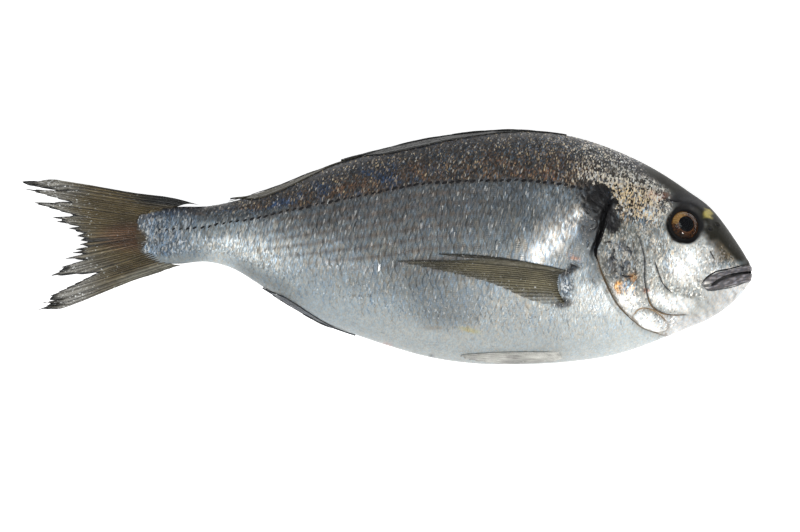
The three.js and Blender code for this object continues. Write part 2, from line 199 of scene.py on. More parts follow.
def form(x, turn, side):
    """The plain body: the point at x that lies turn round from the back towards the belly."""
    back, belly, half = body_at(x)
    middle = (back + belly) / 2
    across = np.cos(turn)
    sharpness = mix(BELLY_SHARPNESS, BACK_SHARPNESS, (1 + across) / 2)
    rise = np.clip(np.sin(turn), 0, 1)
    y = middle + (back - belly) / 2 * (across + WIDEST_ABOVE_MIDDLE * rise ** 2)
    return np.stack([x + 0 * turn, y, side * half * rise ** sharpness], axis=-1)


def turn_at(x, y):
    """How far round from the back the flank reaches the height y."""
    back, belly, _ = body_at(x)
    q = np.clip((y - (back + belly) / 2) / np.maximum((back - belly) / 2, 0.01), -1, 1)
    w = WIDEST_ABOVE_MIDDLE
    return np.arccos(np.clip((1 - np.sqrt(1 - 4 * w * (q - w))) / (2 * w), -1, 1))


def outward(x, turn, side):
    """The direction out of the plain body."""
    step_x = form(x + 0.3, turn, side) - form(x - 0.3, turn, side)
    step_turn = form(x, turn + 0.02, side) - form(x, turn - 0.02, side)
    normal = np.cross(step_x, step_turn) * -side
    return normal / np.maximum(np.linalg.norm(normal, axis=-1, keepdims=True), 1e-9)


def smooth_line(points, steps=6):
    """A curve through the points."""
    p = np.array(points, float)
    p = np.vstack([2 * p[0] - p[1], p, 2 * p[-1] - p[-2]])
    t = np.linspace(0, 1, steps, endpoint=False)[:, None]
    pieces = [
        0.5 * (2 * b + (c - a) * t + (2 * a - 5 * b + 4 * c - d) * t ** 2 + (3 * b - a - 3 * c + d) * t ** 3)
        for a, b, c, d in zip(p, p[1:], p[2:], p[3:])]
    return np.vstack(pieces + [p[-2:-1]])


def run_up(lengths):
    """The length passed before each step and after the last."""
    return np.concatenate([[0], np.cumsum(lengths)])


def near(line, x, y):
    """Distance to a line, the share of it that is passed, and the distance again, below 0 on its right."""
    best = np.full(np.shape(x), 1e9)
    share = np.zeros(np.shape(x))
    side = np.ones(np.shape(x))
    steps = np.diff(line, axis=0)
    lengths = np.linalg.norm(steps, axis=1)
    passed = run_up(lengths)
    for start, step, length, before in zip(line, steps, lengths, passed):
        dx, dy = x - start[0], y - start[1]
        along = np.clip((dx * step[0] + dy * step[1]) / length ** 2, 0, 1)
        gap = np.hypot(dx - along * step[0], dy - along * step[1])
        closer = gap < best
        best = np.where(closer, gap, best)
        share = np.where(closer, (before + along * length) / passed[-1], share)
        side = np.where(closer, np.sign(step[0] * dy - step[1] * dx), side)
    return best, share, best * side


def inside(outline, x, y):
    """How deep a point lies within a closed outline, or 0 outside it."""
    ring = np.vstack([outline, outline[:1]])
    ring = ring[np.r_[True, np.any(np.diff(ring, axis=0) != 0, axis=1)]]
    crossings = np.zeros(np.shape(x), int)
    for (x0, y0), (x1, y1) in zip(ring, ring[1:]):
        level = (y0 > y) != (y1 > y)
        crossings += level & (x < (x1 - x0) * (y - y0) / (y1 - y0 + 1e-12) + x0)
    return np.where(crossings % 2 == 1, near(ring, x, y)[0], 0)


def inside_lips(x, y):
    return np.maximum(inside(UPPER_LIP, x, y), inside(LOWER_LIP, x, y))


GILL_LINE = smooth_line(GILL_COVER_EDGE)
CHEEK_LINE = smooth_line(CHEEK_EDGE)
PLATE_LINE = smooth_line(THROAT_PLATE + THROAT_PLATE[:1])
MOUTH = smooth_line(MOUTH_LINE)
LATERAL = smooth_line(LATERAL_LINE)
CREASE_LINES = [(smooth_line(line), width, depth) for line, width, depth in CREASES]


def relief(x, y):
    """How far the skin stands out from the plain body, or lies below it."""
    _, share, ahead = near(GILL_LINE, x, y)
    open_part = ends(share, 0.07)
    height = GILL_COVER_RISE * open_part * ease(ahead, -0.2, 0.7) * fade(x, 106, 134)
    slit = ease(ahead, -GILL_SLIT_WIDTH - 0.6, -0.9) * fade(ahead, -0.5, 0.2)
    height -= GILL_SLIT_DEPTH * open_part * slit * mix(1.0, 0.15, ease(share, 0.28, 0.42))
    height += SHOULDER_RISE * open_part * ease(ahead, -9, -2.5) * fade(ahead, -2.4, -1.2) * ease(y, -6, 4)

    _, share, ahead = near(CHEEK_LINE, x, y)
    height += CHEEK_RISE * ends(share, 0.2) * ease(ahead, -0.2, 1.0) * fade(x, 121, 146)
    height -= CHEEK_FURROW * ends(share, 0.1) * ease(ahead, -1.6, -0.5) * fade(ahead, -0.4, 0.2)

    height += PLATE_RISE * ease(inside(PLATE_LINE, x, y), 0, 1.6)
    height -= PLATE_FURROW * fade(near(PLATE_LINE, x, y)[0], 0.2, 1.1)

    height += LIP_RISE * ease(inside_lips(x, y), 0, 1.2)
    height -= MOUTH_DEPTH * fade(near(MOUTH, x, y)[0], 0.1, 0.8)

    for line, width, depth in CREASE_LINES:
        gap, share, _ = near(line, x, y)
        height -= depth * ends(share, 0.2) * fade(gap, 0, width * 1.2)
    for pit_x, pit_y, radius, depth in NOSTRILS:
        rim = np.hypot(x - pit_x, y - pit_y) / radius
        height -= depth * fade(rim, 0.4, 1.0)
        height += NOSTRIL_RIM * fade(abs(rim - 1.5), 0, 0.6)

    from_eye = np.hypot(x - EYE["x"], y - EYE["y"])
    height -= ORBIT_DEPTH * fade(from_eye, ORBIT_RADIUS - 1.6, ORBIT_RADIUS + 0.4)
    height += ORBIT_RIM * ease(from_eye, ORBIT_RADIUS - 1, ORBIT_RADIUS + 1) * fade(from_eye, 10, 13)
    height += LOBE_RISE * spot(x, y, *PECTORAL_LOBE)
    return height


def skin_surface(x, turn, side, lift=0.0):
    """A point of the finished skin, lifted off it by lift, pressed flat where it meets the table."""
    base = form(x, turn, side)
    height = relief(base[..., 0], base[..., 1]) + lift
    point = base + outward(x, turn, side) * height[..., None]
    point[..., 2] = np.maximum(point[..., 2], -MIDDLE_HEIGHT)
    return point


# ---------------------------------------------------------------- rows of scales on the skin

ARC_STEP = 0.5
ARC_STATIONS = np.arange(TAIL_END, SNOUT, ARC_STEP)
ARC_SHARES = np.linspace(0, 1, 241)
ROWS_ABOVE_LINE = np.full(36, 4.2)
ROWS_BELOW_LINE = np.r_[0, np.full(11, 5.1), np.full(40, 4.3)]


def arc_tables():
    """For each station: the way round the flank, its turn at equal shares, and the lateral line's share."""
    turns = np.linspace(0, math.pi, 361)
    stations, around = np.meshgrid(ARC_STATIONS, turns, indexing="ij")
    points = form(stations, around, RIGHT)
    steps = np.linalg.norm(np.diff(points[..., 1:], axis=1), axis=-1)
    arcs = np.concatenate([np.zeros((len(stations), 1)), np.cumsum(steps, axis=1)], axis=1)
    girth = arcs[:, -1]
    turn_of_share = np.array([np.interp(ARC_SHARES * arc[-1], arc, turns) for arc in arcs])
    line_y = np.interp(ARC_STATIONS, LATERAL[:, 0], LATERAL[:, 1])
    line_turn = turn_at(ARC_STATIONS, line_y)
    line_share = np.array([np.interp(t, turns, arc) for t, arc in zip(line_turn, arcs)]) / girth
    return girth, turn_of_share, line_share


GIRTH, TURN_OF_SHARE, LINE_SHARE = arc_tables()


def row_turn(x, off_line):
    """The turn of a point that lies off_line below the lateral line, measured along the skin."""
    girth = np.interp(x, ARC_STATIONS, GIRTH)
    share = np.interp(x, ARC_STATIONS, LINE_SHARE) + off_line / girth
    station = np.clip((x - ARC_STATIONS[0]) / ARC_STEP, 0, len(ARC_STATIONS) - 1.001)
    column = np.clip(share, 0, 1) * (len(ARC_SHARES) - 1)
    i = station.astype(int)
    j = np.minimum(column.astype(int), len(ARC_SHARES) - 2)
    a, b = station - i, column - j
    ahead = mix(TURN_OF_SHARE[i, j], TURN_OF_SHARE[i, j + 1], b)
    behind = mix(TURN_OF_SHARE[i + 1, j], TURN_OF_SHARE[i + 1, j + 1], b)
    return mix(ahead, behind, a), share


def scale_pitch(x):
    return np.interp(x, [-116, -80, -30, 120], [2.1, 2.6, 3.2, 3.1])


def row_shrink(x):
    return np.interp(x, [-116, -80, -40, 0], [0.5, 0.62, 0.86, 1.0])


def lattice(front, rear, finer=1.0):
    """Places of overlapping scales: x, way off the lateral line, pitch and row spacing.
    Columns run towards the tail and every second row lies half a pitch further back."""
    columns = [front]
    while columns[-1] > rear:
        columns.append(columns[-1] - scale_pitch(columns[-1]) * finer)
    columns = np.array(columns)
    rows = np.r_[-np.cumsum(ROWS_ABOVE_LINE * finer)[::-1], np.cumsum(ROWS_BELOW_LINE * finer)]
    spacings = np.gradient(rows)
    index = np.arange(len(columns))
    places = []
    for number, off_line in enumerate(rows):
        x = np.interp(index + 0.5 * (number % 2), index, columns)
        shrink = row_shrink(x)
        pitch = scale_pitch(x) * finer
        places.append(np.stack([x, off_line * shrink, pitch, spacings[number] * shrink], axis=1))
    places = np.vstack(places)
    _, share = row_turn(places[:, 0], places[:, 1])
    return places[(share > 0.015) & (share < 0.985)]


# ---------------------------------------------------------------- colours, as linear red, green, blue

def rgb(*levels):
    return np.array(levels)


BACK = rgb(0.042, 0.036, 0.030)
BACK_NAVY = rgb(0.020, 0.035, 0.062)
BACK_RUSSET = rgb(0.062, 0.040, 0.026)
BACK_GREY = rgb(0.034, 0.036, 0.036)
SLATE = rgb(0.062, 0.072, 0.078)
STEEL = rgb(0.112, 0.130, 0.137)
SILVER = rgb(0.205, 0.232, 0.243)
PEARL = rgb(0.375, 0.405, 0.405)
TAIL_BLUE = rgb(0.105, 0.135, 0.165)
TAIL_NAVY = rgb(0.040, 0.055, 0.078)
# near-white silver, painted brighter as a highlight on the cheek, the throat and behind the gills
PAINTED_SHEEN_ON_SILVER = rgb(0.80, 0.81, 0.79)
INK = rgb(0.012, 0.012, 0.013)
SMOKE = rgb(0.065, 0.069, 0.072)
HEAD_OLIVE = rgb(0.014, 0.013, 0.008)
SNOUT_OLIVE = rgb(0.085, 0.068, 0.042)
NAPE_BROWN = rgb(0.034, 0.026, 0.017)
CHEEK_SILVER = rgb(0.36, 0.37, 0.35)
OPERCLE_GREY = rgb(0.16, 0.165, 0.15)
CHIN_GREY = rgb(0.53, 0.535, 0.53)
LIP_GREY = rgb(0.085, 0.080, 0.085)
RUST = rgb(0.16, 0.075, 0.045)
ORANGE = rgb(0.50, 0.24, 0.05)
YELLOW = rgb(0.50, 0.42, 0.12)
PINK_GREY = rgb(0.36, 0.27, 0.25)
BROWN = rgb(0.16, 0.115, 0.07)
ROW_BROWN = rgb(0.060, 0.043, 0.032)
TAIL_OLIVE = rgb(0.096, 0.073, 0.034)
TAIL_GREY = rgb(0.210, 0.205, 0.165)
FIN_INK = rgb(0.020, 0.021, 0.020)
PECTORAL_OLIVE = rgb(0.150, 0.132, 0.078)
PELVIC_PALE = rgb(0.46, 0.46, 0.43)
FOLDED_DARK = rgb(0.055, 0.056, 0.052)

# Mirror flakes in the skin, their bright colour partly painted glints, and the streaks between them
FLAKE_SILVER = rgb(0.80, 0.82, 0.80)
FLAKE_GOLD = rgb(0.92, 0.70, 0.38)
SOFT_FLAKE = 1.6  # a dim flake against the colour that it lies on
COPPER = rgb(0.052, 0.032, 0.017)
NAVY = rgb(0.010, 0.022, 0.045)
FAINT_FLAKES = 3.2  # the higher, the fewer flakes are bright
DIM_FLAKES = 0.55
STREAK_COLD = rgb(0.94, 1.0, 1.06)
STREAK_WARM = rgb(1.06, 1.0, 0.94)
VIVID_COLD = rgb(0.60, 1.0, 1.50)
VIVID_WARM = rgb(1.50, 1.0, 0.62)
NO_FLAKES = -0.1  # below 0, so that no flake's chance comes near it

# Soft patches of colour, laid one over the other: colour, strength, centre, radii and lean
BROW = ((139, 20.8), (13, 6.5), -14)
FACE_PATCHES = [
    (CHEEK_SILVER * 0.85, 1, (121, -3), (6, 16), -14),
    # the near-white patches here, and the last one on the throat, are silvery skin with a painted highlight
    (PAINTED_SHEEN_ON_SILVER, 1, (139, -8), (12, 13), -30),
    (PAINTED_SHEEN_ON_SILVER, 1, (132, -25), (15, 4.6), -14),
    (PAINTED_SHEEN_ON_SILVER, 0.9, (113.5, -24.5), (10, 7), -40),
    (NAPE_BROWN, 1, (114, 24), (26, 14), -22),
    (CHEEK_SILVER * 0.62, 1, (124, 12), (10, 10)),
    (SMOKE * 1.2, 1, (108.5, -5.5), (10, 12)),
    (PAINTED_SHEEN_ON_SILVER * 1.1, 1, (120, -37.5), (15, 9), -32),
]
SNOUT_PATCHES = [
    (HEAD_OLIVE * 0.9, 1, (152, 7.5), (8, 10)),
    # painted highlight: a lighter band along the upper jaw
    (STEEL * 1.8, 0.7, (158, -7.8), (10, 3.2), 6),
    (INK * 1.2, 1, *BROW),
]
SHOULDER_PATCHES = [
    (SILVER * 0.9, 0.45, (78, 22), (15, 9)),
    (SILVER * 0.8, 0.8, (90, -1), (9, 9)),
    (SILVER * 0.8, 0.9, (95.5, -12), (6, 10), 15),
]
HEAD_MARKS = [
    (ORANGE, 0.95, (107.2, -17.6), (3.2, 4.2), -35),
    (ORANGE, 0.5, (114.4, -14.6), (1.8, 3.4)),
    (RUST, 0.9, (125.5, 23.4), (7, 3), -8),
    (RUST * 1.4, 0.8, (120.6, -20), (2.2, 1.8)),
    (YELLOW, 0.75, (149.4, 15.2), (3.6, 2.0), -45),
]
FLANK_MARKS = [
    (PINK_GREY, 0.8, (0.4, -45.8), (3.5, 2.5)),
    (RUST * 2, 0.6, (87, -5.2), (4.5, 1.2), -8),
    (TAIL_BLUE * 1.1, 1, *PECTORAL_LOBE),
    (YELLOW * 0.8, 0.5, (39, -38.5), (7, 1.6), -14),
    (BROWN, 0.35, (22, -37.5), (8, 1.2)),
    # painted shadow under the pectoral fin's root
    (SMOKE * 0.8, 1, (82, -26), (7, 3.4), 8),
    # painted shade at the pectoral fin's root and in the fold above it
    (SMOKE * 0.5, 1, (83.5, -11.5), (8, 2.4), 20),
]

# Values along the body: x, and the value there
SILVER_FROM = ([-90, -55, -25, -8, 15, 50, 80, 95], [0.26, 0.24, 0.34, 0.42, 0.60, 0.44, 0.40, 0.36])
SILVER_SPREAD = ([-60, 0, 40, 90], [0.22, 0.26, 0.22, 0.16])
SILVER_SHADE = ([-10, 20, 45], [1.0, 0.82, 1.0])
PEARL_FROM = ([-20, 20, 36, 50, 90], [0.78, 0.84, 0.78, 0.62, 0.50])
PEARL_SHADE = ([30, 60, 80, 110], [0.82, 0.82, 1.0, 1.3])
BACK_COLOUR_EDGE = ([-100, -60, -30], [8.0, 3.8, 0])  # above the lateral line
BACK_GLITTER_EDGE = ([-100, -60, -30], [5, 2.5, 0])
CROWN_REACH = ([120, 135, 146, 156, 166], [3.5, 4.5, 7.5, 9.5, 7])
FIN_GROOVE = ([-58, -50, -20, -2], [0.8, 1.4, 1.2, 0.6])


def shaded(colour, factor):
    """A colour made darker or lighter by a factor for every point."""
    return colour * np.asarray(factor)[..., None]


def paint(colour, over, mask):
    return mix(colour, over, np.clip(mask, 0, 1)[..., None])


def wandered(value, x, y, seed):
    """Moves painted edges a little, so that they don't run true."""
    return value + 1.2 * ripple(x, y, 3.5, seed) + 0.6 * ripple(x, y, 1.3, seed + 1)


class SkinPoints:
    """Points of the skin as the painting sees them, and the masks that colour and glitter share."""

    def __init__(self, x, y):
        self.true_x, self.true_y = x, y
        back, self.belly, _ = body_at(x)
        self.below = back - y
        self.share = np.clip(share_down(x, y), 0, 1)
        self.x = wandered(x, x, y, 1)
        self.y = wandered(y, self.x, y, 3)
        _, self.gill_share, self.ahead = near(GILL_LINE, self.x, self.y)
        behind_nape = ease(self.x, 100, 108) * ease(self.y, 22, 26)
        self.head = np.maximum(ease(self.ahead, -1, 1) * ease(self.x, 96, 100), behind_nape)
        reach = np.interp(self.x, *CROWN_REACH)
        self.crown = ease(self.x, 114, 128) * fade(self.below, reach, reach + 3)
        patch = np.maximum(self.spot((98.5, 21.2), (13.5, 10.5), -38), self.spot((104, 12), (6, 9), 60))
        self.blotch = ease(patch + 0.35 * self.noise(2.0, 63) + 0.2 * self.noise(0.9, 67), 0.32, 0.6)
        self.lips = inside_lips(x, y)
        self.from_eye = np.hypot(x - EYE["x"] + 0.6, y - EYE["y"] + 0.3) - 0.5 * ripple(x, y, 2.5, 68)
        self.past_scales = np.interp(y, TAIL_SCALE_EDGE[:, 0], TAIL_SCALE_EDGE[:, 1]) - x

    def spot(self, *patch):
        return spot(self.x, self.y, *patch)

    def noise(self, size, seed):
        return ripple(self.x, self.y, size, seed)

    def slanting_streaks(self, squeeze, size, seed):
        return ripple(self.x * 0.85 + self.y * 0.5, (self.x * 0.5 - self.y * 0.85) * squeeze, size, seed)

    def above_line(self, edge):
        """Height over the lateral line and the edge that runs along it."""
        return self.y - np.interp(self.x, LATERAL[:, 0], LATERAL[:, 1]) - np.interp(self.x, *edge)

    def painted_rear_sheen(self):
        """Where a highlight is painted on the flank before the tail."""
        start = np.interp(self.x, [-84, -62], [0.54, 0.40])
        lower_fade = np.interp(self.x, [-80, -64], [0.15, 0.7])
        return (ease(self.x, -91, -74) * fade(self.x, -58, -32) * ease(self.share, start, start + 0.16)
                * (1 - lower_fade * ease(self.share, 0.68, 0.86)))

    def painted(self, colour, patches):
        """Lays soft patches over a colour."""
        for over, strength, *patch in patches:
            colour = paint(colour, over, strength * self.spot(*patch))
        return colour


def trunk_colour(at):
    """The flank's bands from the back down to the belly and on to the tail, and a painted sheen before it."""
    x, share = at.x, at.share
    silver_from = np.interp(x, *SILVER_FROM)
    pearl_from = np.interp(x, *PEARL_FROM)
    colour = np.broadcast_to(SLATE, x.shape + (3,))
    colour = paint(colour, STEEL, ease(share, 0.30, 0.50))
    silver_to = silver_from + np.interp(x, *SILVER_SPREAD)
    colour = paint(colour, shaded(SILVER, np.interp(x, *SILVER_SHADE)), ease(share, silver_from, silver_to))
    colour = paint(colour, SILVER * 1.38, fade(x, -40, -12) * ease(share, 0.42, 0.58))
    colour = paint(colour, SILVER * 1.48, fade(x, 0, 25) * ease(share, 0.68, 0.82))
    colour = paint(colour, STEEL * 1.7, 0.8 * fade(x, -52, -30) * ease(share, 0.22, 0.36))
    # painted highlight: a brighter pearl sheen on the flank before the tail
    colour = paint(colour, PEARL * 1.35, at.painted_rear_sheen())
    pearl = shaded(PEARL, np.interp(x, *PEARL_SHADE))
    colour = paint(colour, pearl, ease(share, pearl_from, pearl_from + 0.16) * ease(x, -30, 50))
    colour = paint(colour, PEARL * 0.9, ease(share, 0.80, 0.90) * ease(x, -30, 10) * fade(x, 70, 90))
    colour = shaded(colour, 1 - 0.3 * ease(share, 0.80, 0.92) * ease(x, -74, -62) * fade(x, -50, -34))
    patches = at.noise(7, 21) + 0.6 * at.noise(3, 22)
    upper = paint(BACK + 0 * colour, BACK_NAVY, ease(patches, 0.0, 0.5) * fade(x, -20, 40))
    upper = paint(upper, BACK_RUSSET, 0.7 * ease(-patches, 0.0, 0.6))
    colour = paint(colour, upper, ease(at.above_line(BACK_COLOUR_EDGE), -0.8, 0.6))
    colour = paint(colour, shaded(BACK_GREY, mix(0.5, 1, ease(x, -10, 60))), fade(share, 0.04, 0.16))
    blue = paint(TAIL_NAVY + 0 * colour, TAIL_BLUE, ease(share, 0.08, 0.24))
    blue = paint(blue, TAIL_BLUE * 1.4, ease(share, 0.55, 0.85))
    blue = paint(blue, SILVER * 0.95, ease(share, 0.78, 0.92))
    return paint(colour, blue, 0.9 * fade(x, -104, -80))


def face_colour(at):
    """The gill cover, the cheek and the chin."""
    face = np.broadcast_to(OPERCLE_GREY, at.x.shape + (3,))
    face = paint(face, CHEEK_SILVER, ease(at.x, 116, 122) * fade(at.y, 16, 22))
    face = paint(face, CHIN_GREY, 1 - ease(at.y, -34, -28) * fade(at.x, 140, 162))
    face = at.painted(face, FACE_PATCHES)
    face = paint(face, INK * 2.4, fade(at.x, 118, 128) * fade(at.below, 4, 9))
    # painted highlights: crumpled silver on the gill cover
    rumpled_sheen = ease(at.noise(2.6, 64) + 0.5 * at.noise(1.1, 65), -0.05, 0.35)
    face = paint(face, CHEEK_SILVER * 0.75, 0.75 * rumpled_sheen * at.spot((108.5, -5), (11, 14)))
    return shaded(face, 1 + 0.28 * at.slanting_streaks(0.22, 1.0, 66) * ease(at.x, 118, 122))


def paint_snout(colour, at):
    """The olive snout and crown, a painted highlight along the upper jaw, and the dark brow over the eye."""
    colour = paint(colour, SNOUT_OLIVE, 0.95 * at.spot((159, -1), (12, 10), -50))
    streaks = ease(at.slanting_streaks(0.3, 0.9, 62), -0.1, 0.5)
    colour = paint(colour, SNOUT_OLIVE * 2.2, 0.5 * at.spot((159, -1), (10, 7), -50) * streaks)
    colour = paint(colour, HEAD_OLIVE, at.crown)
    return at.painted(colour, SNOUT_PATCHES)


def paint_shoulder(colour, at):
    """Painted highlight on the silver behind the gills, the black blotch, painted shade in the gill slit."""
    streaks = ease(ripple(at.x * 1.6 - at.y * 0.35, at.y * 0.25, 1.0, 23), -0.9, 0.3)
    # painted highlight: a white sheen sweeping down and back behind the gills, on silvery skin
    colour = paint(colour, PAINTED_SHEEN_ON_SILVER, 0.22 * at.spot((76.5, 4.0), (28, 12), 43))
    colour = paint(colour, PAINTED_SHEEN_ON_SILVER * 1.15, at.spot((79.4, 4.6), (31, 5.4), 43) * streaks)
    colour = at.painted(colour, SHOULDER_PATCHES)
    colour = paint(colour, SMOKE, 0.9 * at.spot((93.5, 8.5), (7, 10)) * ease(-at.ahead, 0, 2))
    colour = paint(colour, INK * 0.4, at.blotch)
    colour = paint(colour, SMOKE * 1.3, 0.6 * at.blotch * ease(at.noise(1.3, 72), 0.3, 0.6))
    # painted shade: black along the gill slit, fading lower down
    opening = fade(abs(at.ahead + 1.0), 0.7, 1.7) * ends(at.gill_share, 0.05)
    colour = paint(colour, INK, opening * mix(1.0, 0.15, ease(at.gill_share, 0.30, 0.42)))
    return paint(colour, BROWN * 0.8, 0.6 * fade(abs(at.ahead), 0.2, 0.9) * ease(at.gill_share, 0.3, 0.4))


def paint_furrows(colour, at):
    """Thin dark lines along the cheek, the creases and the throat plate."""
    x, y = at.true_x, at.true_y
    gap, share, _ = near(CHEEK_LINE, x, y)
    colour = paint(colour, SMOKE, 0.8 * fade(gap, 0.15, 0.7) * ends(share, 0.1))
    for line, width, _ in CREASE_LINES:
        gap, share, _ = near(line, x, y)
        colour = paint(colour, INK, 0.8 * fade(gap, 0.1, width * 1.1) * ends(share, 0.2))
    return paint(colour, BROWN, 0.6 * fade(near(PLATE_LINE, x, y)[0], 0.1, 0.8))


def paint_openings(colour, at):
    """The lips and the mouth, the nostrils and the dark ring of the eye."""
    x, y, lips = at.true_x, at.true_y, at.lips
    colour = paint(colour, LIP_GREY, ease(lips, 0.1, 0.6))
    # painted highlight: lighter streaks on the lips
    lip_highlight_streaks = ease(ripple(x * 0.35 + y * 0.1, y - 0.25 * x, 0.55, 61), -0.2, 0.7)
    colour = paint(colour, LIP_GREY * 3.2, 0.75 * ease(lips, 0.3, 0.9) * lip_highlight_streaks)
    colour = paint(colour, CHIN_GREY, ease(lips, 0.3, 0.9) * spot(x, y, (148.6, -17.4), (2.6, 2.2)))
    colour = paint(colour, INK, 0.9 * fade(near(MOUTH, x, y)[0], 0.2, 0.8))
    edge = 0.8 * ease(lips, 0, 0.1) * fade(lips, 0.4, 0.8)
    colour = paint(colour, INK * 2, edge * (1 - ease(y, -17, -14) * ease(x, 150, 153)))
    for pit_x, pit_y, radius, _ in NOSTRILS:
        colour = paint(colour, INK, fade(np.hypot(x - pit_x, y - pit_y) / radius, 0.7, 1.3))
    return paint(colour, INK * 0.5, fade(at.from_eye, ORBIT_RADIUS - 0.6, ORBIT_RADIUS + 0.5))


def paint_flank_marks(colour, at):
    """The vent, the pectoral lobe and its painted shade, small stains, the fin grooves and the tail fin's
    root.
    """
    x, y = at.true_x, at.true_y
    for over, strength, *patch in FLANK_MARKS:
        colour = paint(colour, over, strength * spot(x, y, *patch))
    groove = np.interp(x, *FIN_GROOVE)
    along = ease(x, -60, -54) * fade(x, -26, -14)
    colour = paint(colour, INK * 1.6, 0.85 * fade(y - at.belly, groove - 0.6, groove) * along)
    colour = paint(colour, INK * 1.5, 0.8 * fade(at.share, 0.03, 0.08) * fade(x, 40, 80))
    return paint(colour, TAIL_OLIVE * 0.8, ease(at.past_scales, -1.5, 0.8))


def skin_glitter(at):
    """How thick the glitter lies at each point, how golden it is, and how glossy the skin is."""
    x, y, below = at.x, at.y, at.below
    before_eye = at.spot((152, 7), (10, 11))
    brow = at.spot(*BROW)
    on_back = ease(at.above_line(BACK_GLITTER_EDGE), -0.5, 1.5)
    flank = 0.10 * fade(x, -75, -35) + 0.2 * fade(x, -100, -80) + 0.2 * at.painted_rear_sheen()
    back = 0.09 + 0.08 * at.noise(4.5, 73) + 0.30 * ease(x, 62, 98)
    amount = mix(0.03 + mix(flank, back, on_back), 0.20, at.head)
    amount = mix(amount, 0.06, at.spot((126, 12), (10, 10)))
    sheen = np.maximum(at.spot((139, -8), (14, 15), -30), at.spot((132, -25), (17, 7), -14))
    amount = mix(amount, 0.08, sheen)
    amount = mix(amount, 0.06, at.spot((120, -37), (14, 8), -32))
    amount = mix(amount, 0.42, ease(x, 84, 100) * fade(below, 6, 12))
    amount = mix(amount, 0.70 + 0.20 * at.noise(3.2, 71), at.spot((115, 22), (28, 13.5), -20))
    chin = ease(-y, 22, 27) * ease(x, 132, 138) + ease(x, 146, 150) * ease(-y, 14, 18)
    throat = ease(-y, 36, 40) * ease(x, 96, 104)
    dull = 1.4 * at.crown + chin + 1.2 * before_eye + 1.4 * brow + throat
    amount = mix(amount, NO_FLAKES, np.clip(dull, 0, 1))
    amount = mix(amount, NO_FLAKES, 0.9 * at.blotch)
    amount = np.where((at.lips > 0) | (at.from_eye < ORBIT_RADIUS + 0.8), NO_FLAKES, amount)
    amount = mix(amount, 0.42, spot(at.true_x, at.true_y, *PECTORAL_LOBE))
    amount = mix(amount, NO_FLAKES, ease(at.share, 0.8, 0.86) * (1 - at.head))
    amount = np.where(at.past_scales > 0, 0.03, amount)

    gold = mix(on_back * (0.85 - 0.4 * ease(x, 75, 95)) * ease(x, -100, -60), 0.22, at.head)
    gold = mix(gold, 0.85, at.spot((113, 20), (20, 14), -12))
    gold = mix(gold, 0.7, at.spot((112, -18), (7, 7)))
    gloss = mix(ease(at.share, 0.3, 0.6), 0.7, at.head)
    gloss = mix(gloss, 0.0, np.clip(at.crown + before_eye + brow, 0, 1))
    return np.stack([amount, gold, gloss], axis=-1)


def skin_colour(x, y):
    """Colour of the skin at each point, and beside it the values of skin_glitter."""
    at = SkinPoints(x, y)
    colour = paint(trunk_colour(at), face_colour(at), at.head)
    colour = paint_snout(colour, at)
    colour = paint_shoulder(colour, at)
    colour = paint_furrows(colour, at)
    colour = at.painted(colour, HEAD_MARKS)
    colour = paint_openings(colour, at)
    return paint_flank_marks(colour, at), skin_glitter(at)


# ---------------------------------------------------------------- making pieces

def select_only(piece=None):
    bpy.ops.object.select_all(action="DESELECT")
    if piece:
        piece.select_set(True)
        bpy.context.view_layer.objects.active = piece


def place(points):
    """From the body's millimetres to metres on the table."""
    points = np.array(points, float)
    points[..., 2] += MIDDLE_HEIGHT
    return points * MM


def vertices_of(piece):
    co = np.empty(len(piece.data.vertices) * 3)
    piece.data.vertices.foreach_get("co", co)
    return co.reshape(-1, 3)


def reshape(piece, points):
    """Moves the piece's vertices to points, given in the body's millimetres."""
    piece.data.vertices.foreach_set("co", place(points).ravel())
    piece.data.update()


def store(piece, name, values):
    """Keeps a value for every vertex: three numbers each."""
    layer = piece.data.attributes.new(name, "FLOAT_VECTOR", "POINT")
    layer.data.foreach_set("vector", np.ascontiguousarray(values, float).ravel())


def store_lay(piece, *values):
    store(piece, "lay", np.stack(values, axis=-1))


def newest(name):
    piece = bpy.context.object
    piece.name = name
    piece.data.name = name
    return piece


def grid(name, across, along):
    """A flat sheet of faces and, for every vertex, its share across and along."""
    select_only()
    bpy.ops.mesh.primitive_grid_add(x_subdivisions=across, y_subdivisions=along, size=1)
    piece = newest(name)
    co = vertices_of(piece)
    return piece, co[:, 0] + 0.5, co[:, 1] + 0.5


def ball(name, segments, rings):
    """A round form of radius 1 and its vertices."""
    select_only()
    bpy.ops.mesh.primitive_uv_sphere_add(segments=segments, ring_count=rings, radius=1)
    piece = newest(name)
    return piece, vertices_of(piece)


def linked(name, data):
    holder = bpy.data.objects.new(name, data)
    bpy.context.scene.collection.objects.link(holder)
    return holder


def face_outwards(piece):
    select_only(piece)
    bpy.ops.object.mode_set(mode="EDIT")
    bpy.ops.mesh.select_all(action="SELECT")
    bpy.ops.mesh.normals_make_consistent(inside=False)
    bpy.ops.object.mode_set(mode="OBJECT")


def finish_piece(piece, material, replaced=()):
    """Smooth faces, a finish, and a place on the fish."""
    select_only(piece)
    bpy.ops.object.shade_smooth()
    piece.data.materials.clear()
    piece.data.materials.append(material)
    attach(piece, "root")
    for node_name in replaced:
        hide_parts(node_name)


def joined(name, points, faces):
    """One mesh of many copies: points has each copy's vertices, faces the corners of one copy's faces."""
    copies, count = points.shape[:2]
    every_face = [[corner + copy * count for corner in face] for copy in range(copies) for face in faces]
    mesh = bpy.data.meshes.new(name)
    mesh.from_pydata(place(points.reshape(-1, 3)).tolist(), [], every_face)
    mesh.update()
    return linked(name, mesh)


